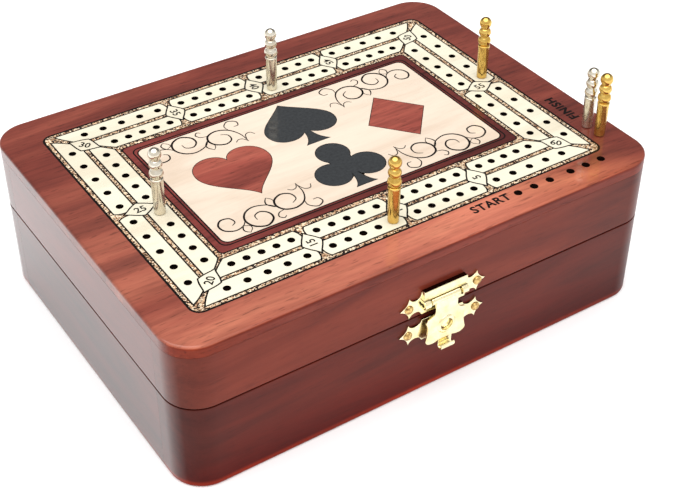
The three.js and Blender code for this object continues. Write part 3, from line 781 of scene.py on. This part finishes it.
def mitre_end(t_middle, t_edge, shift, direction):
    """Strip end at a corner, along the diagonal of the track."""
    outside = t_edge > t_middle
    gap = MITRE_GAP_OUTSIDE if outside else MITRE_GAP
    start = (direction * (t_middle + shift - MITRE_GAP), t_middle)
    end = (direction * (t_edge + shift - gap), t_edge)
    t_bulge = t_middle + 0.58 * (t_edge - t_middle)
    bulge = (direction * (t_bulge + shift - MITRE_GAP * (1 if outside else 0.3)), t_bulge)
    return chain(start, (8, bulge, end))


def strips():
    """Outlines of the 24 pale strips, each with the centres of its five holes."""
    found = []
    for long_side, t_outer, shift, stops in (
            (True, STRIP_OUTER[1], CORNER_SHIFT, [None, -PLAQUE_X, 0, PLAQUE_X, None]),
            (False, STRIP_OUTER[0], -CORNER_SHIFT, [None, 0, None])):
        rows = [(t_outer - STRIP, t_outer),
                (t_outer - STRIP - MIDDLE_BAND, t_outer - 2 * STRIP - MIDDLE_BAND)]
        for (t_middle, t_edge), side in [(row, side) for row in rows for side in (-1, 1)]:
            for stretch in zip(stops, stops[1:]):
                left, right = [mitre_end(t_middle, t_edge, shift, -way) if stop is None
                               else plaque_end(t_middle, t_edge, stop, way)
                               for stop, way in zip(stretch, (1, -1))]
                loop = [(s, side * t) if long_side else (side * t, s)
                        for s, t in left + right[::-1]]
                low = [min(p[k] for p in loop) for k in (0, 1)]
                high = [max(p[k] for p in loop) for k in (0, 1)]
                inside = [place for place in TRACK_PLACES
                          if all(low[k] < place[k] < high[k] for k in (0, 1))]
                found.append((anticlockwise(loop), inside))
    return found


def plaque_loop():
    """Lozenge with curved sides, long way along Y."""
    lower = chain((0, -PLAQUE_LENGTH), (8, (0.8, -4.2), (2.5, -3.0), (PLAQUE_WIDTH, 0)))
    return mirrored(lower + [(x, -y) for x, y in lower[-2::-1]])


def plaques():
    """Place, direction of the long axis, number and direction of the lettering of each plaque.
    The second six are the first six turned by half a turn."""
    middle = TRACK_HIGH[1] - OUTER_BAND - STRIP - MIDDLE_BAND / 2
    side = TRACK_HIGH[0] - OUTER_BAND - STRIP - MIDDLE_BAND / 2
    cx, cy = CORNER_PLAQUE
    found = []
    for way in (1, -1):
        reading = way * QUARTER
        for x, y, turn, lettering in (
                (PLAQUE_X, -middle, 0, reading), (0, -middle, 0, reading),
                (-PLAQUE_X, -middle, 0, reading), (-cx, -cy, -EIGHTH, EIGHTH),
                (-side, 0, QUARTER, 0), (-cx, cy, EIGHTH, -EIGHTH)):
            number = str(5 * len(found) + 5)
            found.append((way * x, way * y, turn, number, lettering))
    return found


def layered(name, islands, level, material, thickness=LAYER):
    """A thin inlaid layer made of islands, each an outline and the outlines cut out of it."""
    shell = Shell()
    for outline, holes in islands:
        shell.slab(outline, level - thickness, level, holes)
    return make(name, shell, material, "lid")


def build_track():
    """Ground, speckled bands, pale strips, plaques and numbers, from the bottom up."""
    strip_faces = [(loop, bores(places)) for loop, places in strips()]
    plaque_faces = [(placed(plaque_loop(), x, y, turn), []) for x, y, turn, _, _ in plaques()]
    level = TOP - 3 * LAYER
    ground = layered("track_ground", [(TRACK_OUTLINE, [TRACK_OPENING] + TRACK_HOLES)], level,
                     BLACK, INLAY - 3 * LAYER)
    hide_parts("track_inlay")
    band = (grow(TRACK_OUTLINE, -BORDER_LINE), [grow(TRACK_OPENING, LINE)] + TRACK_HOLES)
    layered("track_speckle", [band], level + LAYER, SPECKLE)
    for name, rims, faces, steps in (("strip_outlines", "strips", strip_faces, 2),
                                     ("plaque_outlines", "plaques", plaque_faces, 4)):
        outlines = [(grow(loop, LINE), holes) for loop, holes in faces]
        layered(name, outlines, level + steps * LAYER, BLACK)
        layered(rims, faces, level + (steps + 1) * LAYER, STRIP_MAPLE)
    for x, y, _, number, turn in plaques():
        letters(f"number_{number}", number, 3.1, x, y, turn, level + 6 * LAYER, bold=0.09)


def letters(name, text, height, x, y, turn, level, spacing=1.0, bold=0.0):
    """Flat capitals or figures of a given height, centred on (x, y)."""
    font = bpy.data.curves.new(name + "_curve", "FONT")
    for key, value in {"body": text, "align_x": "CENTER", "size": height * MM / CAPITAL,
                       "space_character": spacing, "offset": bold * MM,
                       "extrude": LAYER * MM / 2, "resolution_u": 3}.items():
        setattr(font, key, value)
    scratch = show(name + "_scratch", font)
    mesh = evaluated_mesh(scratch)
    bpy.data.objects.remove(scratch)
    down = Vector((0, -height / 2, 0)) * MM
    move = Matrix.Translation(Vector((x, y, level - LAYER / 2)) * MM)
    mesh.transform(move @ Matrix.Rotation(turn, 4, "Z") @ Matrix.Translation(down))
    mesh.name = name
    mesh.materials.clear()
    mesh.materials.append(BLACK)
    adopt(name, mesh, "lid")


# ---- centre panel ----
def club_half():
    """Right half of three round lobes on a flared stem."""
    stem = curve([(4.3, -30.9), (1.5, -28.6), (1.1, -21.5)], 8)
    side = arc(7.4, -19.9, 7.0, -2.72, 2.02, 22)
    return stem + side + arc(0, -7.7, 6.5, -0.72, QUARTER, 12)


SPADE = chain((4.9, 2.0), (8, (1.4, 5.2), (1.2, 10.6)), (16, (4.6, 5.6), (15, 6.6), (15, 15)),
              (16, (15, 21), (7, 25), (0, 32)))
HEART = chain((0, -15), (18, (3.4, -8.4), (15.4, -2.6), (15.4, 5.8)),
              (18, (15.4, 16.6), (2.2, 17.6), (0, 10)))
DIAMOND = [(0, -15.6), (13.1, 0), (0, 15.6)]
SUITS = [(name, placed(mirrored(half), x, y), *look) for name, half, x, y, *look in (
    ("spade", SPADE, 0.3, 0, CHARCOAL, "black_inlay"),
    ("heart", HEART, -35.3, 0, SUIT_WOOD, "red_inlay"),
    ("diamond", DIAMOND, 35.7, 0.5, SUIT_WOOD, "red_inlay"),
    ("club", club_half(), 0.3, 0, CHARCOAL, "black_inlay"))]
INLAY_LINE = (63.0, 35.6, 3.2)


def build_panel():
    outline = rectangle(PANEL_HIGH[0], PANEL_HIGH[1], PANEL_CORNER)
    rim = grow(outline, LINE)
    bottom = TOP - INLAY
    panel = Shell().slab(outline, bottom, TOP, [grow(suit[1], SUIT_LINE) for suit in SUITS])
    remake("centre_panel", panel, PANEL_MAPLE, "lid")
    lines = Shell().slab(rim, bottom, TOP, [outline])
    for _, loop, *_ in SUITS:
        lines.slab(grow(loop, SUIT_LINE), TOP - SUIT, TOP, [loop])
    make("panel_lines", lines, BLACK, "lid")
    for name, loop, material, slot in SUITS:
        remake(f"suit_{name}", Shell().slab(loop, TOP - SUIT, TOP), material, "lid")
    layered("panel_surround", [(TRACK_OPENING, [rim])], TOP + LAYER, SURROUND_WOOD)
    inlay_line = rectangle(*INLAY_LINE)
    layered("border_line", [(inlay_line, [grow(inlay_line, -LINE)])], TOP + 2 * LAYER, BLACK)


def flowing(points, steps=7):
    """A smooth curve through a few points."""
    ends = [points[0]] + points + [points[-1]]
    line = []
    for a, b, c, d in zip(ends, ends[1:], ends[2:], ends[3:]):
        leave = [b[k] + (c[k] - a[k]) / 6 for k in (0, 1)]
        arrive = [c[k] - (d[k] - b[k]) / 6 for k in (0, 1)]
        line += curve([b, leave, arrive, c], steps)
    return line + [points[-1]]


def scroll():
    """Strokes of one corner ornament: a winding stem, its curls and two leaves."""
    return [
        ([(22, 16.6), (22.3, 22.5), (24.8, 27.4), (29.2, 29.5), (33.4, 28.2), (35.0, 24.8),
          (33.8, 21.4), (30.2, 19.6), (27.0, 21.2), (26.6, 24.6), (29.0, 26.4)], 0.85),
        ([(34.8, 25.8), (37.4, 22.6), (42.4, 20.8), (46.6, 22.4), (48.8, 26.4), (47.6, 30.8),
          (43.4, 33.0), (39.6, 30.6), (39.2, 27.0), (41.6, 24.6), (44.4, 25.6), (44.8, 28.2)],
         0.85),
        ([(48.6, 26.0), (50.8, 28.6), (54.4, 29.6), (57.8, 27.6), (58.4, 24.2), (56.2, 21.6),
          (53.0, 22.2), (52.2, 25.0), (54.0, 26.4)], 0.75),
        ([(24.8, 27.6), (25.0, 30.6), (22.4, 33.0), (19.4, 31.4), (19.8, 28.8), (21.8, 28.6)],
         0.55),
        ([(33.8, 28.2), (36.2, 28.8), (37.4, 30.8), (36.2, 32.4), (34.8, 31.6)], 0.5),
        ([(22.1, 17.2), (23.2, 19.2), (25.0, 19.6), (26.4, 18.4)], 0.42),
        ([(17.4, 19.8), (18.6, 21.8), (20.8, 21.2), (22.0, 18.0)], 0.42),
        ([(35.6, 25.2), (37.4, 22.6), (37.2, 20.6), (35.8, 18.6)], 0.55),
        ([(35.8, 18.6), (34.4, 20.4), (34.5, 22.4), (35.6, 25.2)], 0.34),
        ([(50.8, 28.6), (48.8, 29.8), (48.8, 31.4), (50.4, 33.2)], 0.34),
        ([(50.4, 33.2), (51.8, 31.8), (51.8, 30.2), (50.8, 28.6)], 0.55),
    ]


def build_scrolls():
    corners = [(sx, sy) for sx in (-1, 1) for sy in (-1, 1)]
    islands = [(ribbon(flowing([(sx * x, sy * y) for x, y in points]), width), [])
               for sx, sy in corners for points, width in scroll()]
    layered("corner_scrolls", islands, TOP + LAYER, BLACK)


def build_lettering():
    letters("word_start", "START", 3.7, 30.0, -65.6, 0, TOP + LAYER, 1.12, 0.18)
    letters("word_finish", "FINISH", 3.7, 93.5, -31.0, QUARTER, TOP + LAYER, 1.12, 0.24)


# ---- walls, floor and inside ----
def long_wall_loop(side):
    """Full-length wall with round outer corners: side is -1 in front and 1 behind."""
    inner = HALF_DEPTH - LONG_WALL
    middle = HALF_DEPTH - CORNER
    loop = [(-HALF_LENGTH, inner), (HALF_LENGTH, inner)]
    loop += arc(HALF_LENGTH - CORNER, middle, CORNER, 0, QUARTER, 16)
    loop += arc(-HALF_LENGTH + CORNER, middle, CORNER, QUARTER, 2 * QUARTER, 16)
    return anticlockwise([(x, side * y) for x, y in loop])


def end_wall_loop(side):
    half = HALF_DEPTH - LONG_WALL - GLUE_LINE / 2
    inner, outer = side * (HALF_LENGTH - END_WALL), side * HALF_LENGTH
    return anticlockwise([(inner, -half), (outer, -half), (outer, half), (inner, half)])


LEAF = 1.0
LEAF_RECESS = 1.15


def leaf_mortises(row):
    """Room for the two hinge leaves in the lid's or the base's back wall."""
    bottom, top = ((SEAM - LEAF, SEAM + LEAF_RECESS) if row == "lid"
                   else (SEAM - LEAF_RECESS, SEAM + LEAF))
    tools = []
    for side in ("left", "right"):
        low, high = box(f"hinge_{row}_leaf_{side}")
        room = box_shell((low[0] - GLUE_LINE, low[1] - GLUE_LINE, bottom),
                         (high[0] + GLUE_LINE, HALF_DEPTH + 1, top))
        tools.append((room, AS_DRAWN))
    return tools


def build_wall(name, loop, bottom, top, soft, material, holes):
    """One wall, with softened bottom and top edges and with blind holes from above."""
    shell = Shell()
    low, high = shell.wall(loop, soft_edge(bottom, top, soft))
    shell.cap([low], bottom, up=False)
    shell.cap([high, *holes], top)
    bore_holes(shell, holes, BORE_BOTTOM, top)
    return remake(name, shell, material, name.split("_")[0])


def build_walls():
    for row, ends, long_wood, end_wood, starts, finishes in (
            ("lid", (LID_BOTTOM, WALL_TOP, (SEAM_SOFT, 0)), LID_LONG_WOOD, LID_END_WOOD,
             START_HOLES, FINISH_HOLES),
            ("base", (0, BASE_TOP, (FOOT_SOFT, SEAM_SOFT)), LONG_WOOD, END_WOOD, [], [])):
        build_wall(row + "_front_wall", long_wall_loop(-1), *ends, long_wood, starts)
        back = build_wall(row + "_back_wall", long_wall_loop(1), *ends, long_wood, [])
        cut(back, leaf_mortises(row))
        build_wall(row + "_left_wall", end_wall_loop(-1), *ends, end_wood, [])
        build_wall(row + "_right_wall", end_wall_loop(1), *ends, end_wood, finishes)


def build_inside():
    low, high = box("base_floor")
    floor = Shell().slab(rectangle(high[0], high[1], 0.4, 2), low[2], high[2], soft=(0.3, 0))
    remake("base_floor", floor, END_WOOD, "base")
    for side in ("left", "right"):
        low, high = box(f"divider_{side}")
        half = (high[0] - low[0]) / 2
        outline = placed(rectangle(half, high[1], 0.3, 2), (high[0] + low[0]) / 2, 0)
        divider = Shell().slab(outline, low[2], high[2], soft=(0, 1.1))
        remake(f"divider_{side}", divider, INSIDE_WOOD, "base")


def build_lining():
    """Felt laid on the floor, with a slightly uneven pile and soft edges."""
    low, high = box("well_lining")
    random.seed(7)
    columns, rows = 60, 40
    shell = Shell()
    heights = {}
    for i in range(columns + 1):
        for j in range(rows + 1):
            rim = i in (0, columns) or j in (0, rows)
            heights[i, j] = high[2] - (0.25 if rim else 0.12 * random.random())

    def top(p):
        x = low[0] + (high[0] - low[0]) * p[0] / columns
        y = low[1] + (high[1] - low[1]) * p[1] / rows
        return (x, y, heights[p])

    def bottom(p):
        return (*top(p)[:2], low[2])

    for i in range(columns):
        for j in range(rows):
            ring = [(i, j), (i + 1, j), (i + 1, j + 1), (i, j + 1)]
            shell.face([top(p) for p in ring])
            shell.face([bottom(p) for p in reversed(ring)])
    border = ([(i, 0) for i in range(columns)] + [(columns, j) for j in range(rows)]
              + [(i, rows) for i in range(columns, 0, -1)] + [(0, j) for j in range(rows, 0, -1)])
    for p, q in zip(border, border[1:] + border[:1]):
        shell.face([bottom(p), bottom(q), top(q), top(p)])
    felt = remake("well_lining", shell, FELT, "base", sharp=60)


# ---- hinges ----
PIN = 1.0
KNUCKLE = 2.2
KNUCKLE_GAP = 0.1
PIN_BORE = 1.12
SCREW_HEAD_BORE = 2.05
LEAF_GAP = 0.05


def disc_tool(radius, length):
    return Shell().slab(circle(0, 0, radius, 24), -length / 2, length / 2)


def build_hinges():
    for side in ("left", "right"):
        for row in ("base", "lid"):
            build_leaf(row, side)
        name = f"hinge_pin_{side}"
        low, high = box(name)
        half = (high[0] - low[0]) / 2
        shell = Shell().lathe([(0, -half), (0.6, -half), (PIN, -half + 0.4), (PIN, half - 0.4),
                               (0.6, half), (0, half)], steps=20)
        remake(name, shell, HINGE_BRASS, "base",
               (ALONG_X, ((low[0] + high[0]) / 2, HINGE_Y, HINGE_Z)))


def build_leaf(row, side):
    """A flat leaf with its rolled knuckles, bored for the pin and countersunk for its screws."""
    name = f"hinge_{row}_leaf_{side}"
    low, high = box(name)
    lid = row == "lid"
    bottom = SEAM + LEAF_GAP if lid else SEAM - LEAF_GAP - LEAF
    middle = (low[0] + high[0]) / 2
    half = (high[0] - low[0]) / 2
    reach = HALF_DEPTH - low[1]
    outline = placed(rectangle(half, reach / 2, 1.0, 4), middle, low[1] + reach / 2)
    shell = Shell().slab(outline, bottom, bottom + LEAF, soft=(0.12, 0) if lid else (0, 0.12))
    piece = remake(name, shell, HINGE_BRASS, row)
    joins = []
    pitch = 2 * half / 3
    length = pitch - 2 * KNUCKLE_GAP
    for index in ([1] if lid else [0, 2]):
        start = middle - half + index * pitch + KNUCKLE_GAP
        tab = box_shell((start, HALF_DEPTH - 1, bottom), (start + length, HINGE_Y, bottom + LEAF))
        tube = Shell().slab(circle(0, 0, KNUCKLE, 32), 0, length, soft=(0.25, 0.25))
        joins += [(tab, AS_DRAWN), (tube, (ALONG_X, (start, HINGE_Y, HINGE_Z)))]
    cuts = [(disc_tool(PIN_BORE, 40), (ALONG_X, (middle, HINGE_Y, HINGE_Z)))]
    for end in ("outer", "inner"):
        screw = f"hinge_{row}_screw_{side}_{end}"
        x, y, _ = centre(screw)
        cuts.append((disc_tool(SCREW_HEAD_BORE, 6), (UPRIGHT, (x, y, bottom))))
        build_screw(screw, x, y, row)
    cut(piece, joins, "UNION")
    cut(piece, cuts)


def build_screw(name, x, y, row):
    """Countersunk wood screw with a slotted head."""
    shell = Shell().lathe([(0, -8), (0.25, -7.8), (0.9, -6), (0.9, -1.4), (1.9, -0.35),
                           (2.0, -0.12), (1.9, 0), (0, 0)], steps=28)
    lid = row == "lid"
    turn = Matrix.Rotation(pi, 3, "X") if lid else UPRIGHT
    origin = (x, y, SEAM + LEAF_GAP if lid else SEAM - LEAF_GAP)
    piece = remake(name, shell, HINGE_BRASS, row, (turn, origin))
    slot = box_shell((-2.4, -0.28, -0.4), (2.4, 0.28, 0.4))
    cut(piece, [(slot, (turn @ Matrix.Rotation(x * 0.7, 3, "Z"), origin))])


# ---- clasp ----
PLATE = 0.8
PLATE_BACK = 0.1
BRIDGE_HALF = 9.6
WINDOW_HALF = 6.9
WINDOW_REACH = 2.2
CATCH_HALF = 9.1
ROLL = 1.5
LID_ROLL = ROLL + 0.35
BOSS_Z = TOP - 33.4
PROUD = FRONT - CLASP_Y
EAR_TIP = 18.7
EAR_POINT = 14.9
EAR_RISE = 4.6
WAIST = 12.0
WAIST_DIP = 2.7


def eared_loop(half, low, high, ear_z):
    """Stamped plate in x and height, with a three-pointed ear at each end."""
    def side(way, end):
        dip = ear_z + way * WAIST_DIP
        return chain((EAR_TIP, ear_z),
                     (6, (EAR_POINT + 0.5, ear_z + way * 1.3), (EAR_POINT, ear_z + way * EAR_RISE)),
                     (6, (EAR_POINT - 0.8, dip), (WAIST, dip)), (6, (half + 0.5, dip), (half, end)))
    return mirrored(side(1, high)[::-1] + side(-1, low)[1:])


def build_lid_plate():
    """Stamped plate with a raised band above the window and rolled ends that hold the bar."""
    low, high = box("clasp_lid_plate")
    window = [(sx * WINDOW_HALF, CLASP_Z + sz * WINDOW_REACH) for sx, sz in SQUARE]
    shell = Shell().slab(eared_loop(BRIDGE_HALF, low[2], high[2] - 0.6, CLASP_Z), PLATE_BACK,
                         PLATE, [window], (0, 0.25), hole_soft=0.1)
    piece = remake("clasp_lid_plate", shell, PLATE_BRASS, "lid", ON_FRONT)
    back = PROUD - 0.15
    half = (BRIDGE_HALF - WINDOW_HALF) / 2
    joins = []
    for side in (-1, 1):
        middle = side * (BRIDGE_HALF + WINDOW_HALF) / 2
        roll = Shell().slab(circle(0, 0, LID_ROLL, 28), middle - half, middle + half,
                            soft=(0.2, 0.2))
        web = box_shell((-0.45, 0, middle - half + 0.35), (back, 3.4, middle + half - 0.35))
        joins += [(roll, ON_CLASP_BAR), (web, ON_CLASP_BAR)]
    top = high[2] - CLASP_Z - 0.2
    profile = [(back, 2.0), (-0.45, 2.0), (-0.6, 2.3), (-0.6, top - 0.2), (-0.4, top), (back, top)]
    band = Shell().slab(anticlockwise(profile), -BRIDGE_HALF + 0.1, BRIDGE_HALF - 0.1,
                        soft=(0.25, 0.25))
    joins.append((band, ON_CLASP_BAR))
    cut(piece, joins, "UNION")
    cut(piece, [(disc_tool(0.85, 30), ON_CLASP_BAR)])
    bar = Shell().slab(circle(0, 0, 0.65), -WINDOW_HALF - 0.4, WINDOW_HALF + 0.4)
    make("clasp_bar", bar, BRASS, "lid", ON_CLASP_BAR)


TONGUE_BACK = 2.5
TONGUE_FRONT = 3.3
NECK = 4.9
BODY = 8.9
SHOULDER = TOP - 28.2
LOBE = TOP - 37.4
LIP_Z = TOP - 40.2


def tongue_loop():
    """Outline of the tongue in x and height above the bar: neck, shoulders and two lobes."""
    return mirrored([(NECK, CLASP_Z)] + chain(
        (NECK, SHOULDER + 2.4),
        (8, (NECK, SHOULDER + 0.2), (BODY - 0.9, SHOULDER - 0.4)),
        (6, (BODY + 0.3, SHOULDER - 1.2), (BODY - 0.4, SHOULDER - 2.6)),
        (8, (BODY - 1.4, SHOULDER - 4.6), (BODY - 0.3, LOBE)),
        (10, (BODY + 0.7, LOBE - 2.4), (BODY - 2, LOBE - 3.4), (BODY - 4.4, LOBE - 2.9)),
        (4, (3.4, LOBE - 2.6), (3.0, LOBE - 2.4))))


def build_tongue():
    """Stamped tongue with a domed hole for the boss, a roll round the bar and a finger lip."""
    front = TONGUE_FRONT
    shell = Shell().slab(tongue_loop(), TONGUE_BACK, front, [circle(0, BOSS_Z, 2.5, 28)],
                         soft=(0.15, 0.25))
    piece = remake("clasp_tongue", shell, BRASS, "clasp_tongue", ON_FRONT)
    dome = Shell().lathe([(2.5, front - 0.4), (4.1, front - 0.4), (3.9, front + 0.1),
                          (3.4, front + 0.5), (2.95, front + 0.65), (2.6, front + 0.5),
                          (2.5, front + 0.2), (2.5, front - 0.4)], y=BOSS_Z)
    roll = Shell().slab(circle(0, 0, ROLL - 0.05, 28), -6.2, 6.2, soft=(0.15, 0.15))
    bend = [(-2.9, 1.2), (-2.75, -0.4)] + arc(-3.8, -2.3, 1.15, 0, -1.25 * pi, 14)
    lip = Shell().slab(placed(ribbon(bend, 0.75, 0.75), 0, LIP_Z - CLASP_Z), -3, 3,
                       soft=(0.18, 0.18))
    cut(piece, [(dome, ON_FRONT), (roll, ON_CLASP_BAR),
                (lip, (ALONG_X, (CLASP_X, FRONT, CLASP_Z)))], "UNION")
    cut(piece, [(disc_tool(0.75, 14), ON_CLASP_BAR)])


def build_catch_plate():
    low, high = box("clasp_catch_plate")
    shell = Shell().slab(eared_loop(CATCH_HALF, low[2], high[2], CATCH_Z), PLATE_BACK, PLATE,
                         soft=(0, 0.25))
    piece = remake("clasp_catch_plate", shell, PLATE_BRASS, "base", ON_FRONT)
    boss = Shell().lathe([(0, 0.4), (2.0, 0.4), (2.0, 2.3), (1.8, 2.55), (1.4, 2.62), (0, 2.65)],
                         0.22, BOSS_Z - 0.22)
    cut(piece, [(boss, ON_FRONT)], "UNION")


def build_nails():
    for row, side in (("lid", "left"), ("lid", "right"), ("base", "left"), ("base", "right")):
        name = f"clasp_{row}_nail_{side}"
        x, _, z = centre(name)
        shell = Shell().lathe([(0, -7), (0.3, -6.6), (0.8, -5.4), (0.8, 0.0), (1.7, 0.0),
                               (1.75, 0.12), (1.6, 0.42), (1.2, 0.7), (0.6, 0.86), (0, 0.9)],
                              steps=24)
        remake(name, shell, NAIL_BRASS, row,
               (FACING_FRONT, (x, FRONT - PLATE - 0.1, z)))


# ---- pegs ----
PEG_HEIGHT = 27.5
BALL = 2.45
BALL_NECK = 23.2


def bead(radius, middle, half, end=0.84):
    """Profile of a turned bead between two necks; end is how far round its side turns."""
    angles = [end * (i / 5 - 1) for i in range(11)]
    return [(radius * cos(a), middle + half * sin(a)) for a in angles]


def peg_profile(height):
    """Half outline of a turned metal peg that stands this far out of the board."""
    pin = [(0, -8.6), (0.8, -8.6), (1.1, -8.3), (1.2, -8.0), (1.40, 0.0), (2.0, 0.25), (2.1, 0.55)]
    shank = [(2.28, 14.2), (2.34, 14.4), (2.34, 14.9), (2.2, 15.1), (1.7, 15.25)]
    ball = [place for place in bead(BALL, PEG_HEIGHT - BALL, BALL, QUARTER) if place[1] > BALL_NECK]
    head = (shank + bead(2.6, 17.15, 2.4) + bead(2.45, 20.95, 2.3) + ball[:-1]
            + [(0, PEG_HEIGHT)])
    return pin + [(radius, z - PEG_HEIGHT + height) for radius, z in head]


def build_pegs():
    for body in [name for name in frame["bodies"] if name.startswith("peg_")]:
        profile = [(radius, TOP + z) for radius, z in peg_profile(box(body)[1][2] - TOP)]
        shell = Shell().lathe(profile, *centre(body)[:2], 40)
        material, slot = (SILVER, "peg_silver") if "silver" in body else (GOLD, "peg_gold")
        remake(body, shell, material, body, sharp=50)


# ---- studio ----
# The camera's place is in millimetres, and the rest of the studio is in metres.
CAMERA_PLACE = (-231.37, -360.92, TOP + 285.57)
CAMERA_ANGLES = (-33.63, 37.92, 0.23)
SUN_PLACE = (-0.1, 0, 1.5)
SUN_WIDTH = 76
DIM_SIDE = (0.42, 0.655, 0.63)
FLOOR_REACH = 6.0
FLOOR_DROP = 0.0001


def build_camera():
    camera = show("camera", bpy.data.cameras.new("camera"))
    camera.data.sensor_width = 36
    camera.data.lens = 71.48
    azimuth, elevation, roll = (radians(angle) for angle in CAMERA_ANGLES)
    turn = (Matrix.Rotation(azimuth, 4, "Z") @ Matrix.Rotation(QUARTER - elevation, 4, "X")
            @ Matrix.Rotation(roll, 4, "Z"))
    camera.matrix_world = Matrix.Translation(Vector(CAMERA_PLACE) * MM) @ turn
    scene.camera = camera


def build_sun():
    """One very wide sun above, a little to the left."""
    data = bpy.data.lights.new("ceiling", "SUN")
    data.energy = 3.0
    data.angle = radians(SUN_WIDTH)
    sun = show("ceiling", data)
    sun.location = SUN_PLACE
    sun.rotation_euler = (-Vector(SUN_PLACE)).to_track_quat("-Z", "Y").to_euler()


def build_world():
    """Soft surrounding light: dim towards one side, so that flat lacquer stays deep."""
    world = bpy.data.worlds.new("studio")
    n = Nodes(world, "Background")
    direction = n.add("TexCoord").outputs["Generated"]
    towards = n.add("VectorMath", {0: direction, 1: DIM_SIDE}, operation="DOT_PRODUCT")
    glow = n.add("MapRange", {"Value": towards.outputs["Value"], "From Min": 0.9, "From Max": 0.1,
                              "To Min": 0.2, "To Max": 1.0}, interpolation_type="SMOOTHSTEP")
    n.set(Color=grey(1), Strength=glow.outputs["Result"])
    scene.world = world


def build_studio():
    mesh = bpy.data.meshes.new("floor")
    corners = [(sx * FLOOR_REACH, sy * FLOOR_REACH, 0) for sx, sy in SQUARE]
    mesh.from_pydata(corners, [], [(0, 1, 2, 3)])
    n = new_material("studio_floor")
    n.set(Base_Color=grey(0.9), Roughness=0.6, Emission_Color=grey(1), Emission_Strength=0.1)
    mesh.materials.append(n.material)
    floor = show("floor", mesh)
    floor.location.z = -FLOOR_DROP
    build_world()
    build_sun()
    scene.view_settings.view_transform = "Standard"
    scene.cycles.use_denoising = True


build_camera()
build_studio()
build_deck()
build_track()
build_panel()
build_scrolls()
build_lettering()
build_walls()
build_inside()
build_lining()
build_hinges()
build_lid_plate()
build_tongue()
build_catch_plate()
build_nails()
build_pegs()
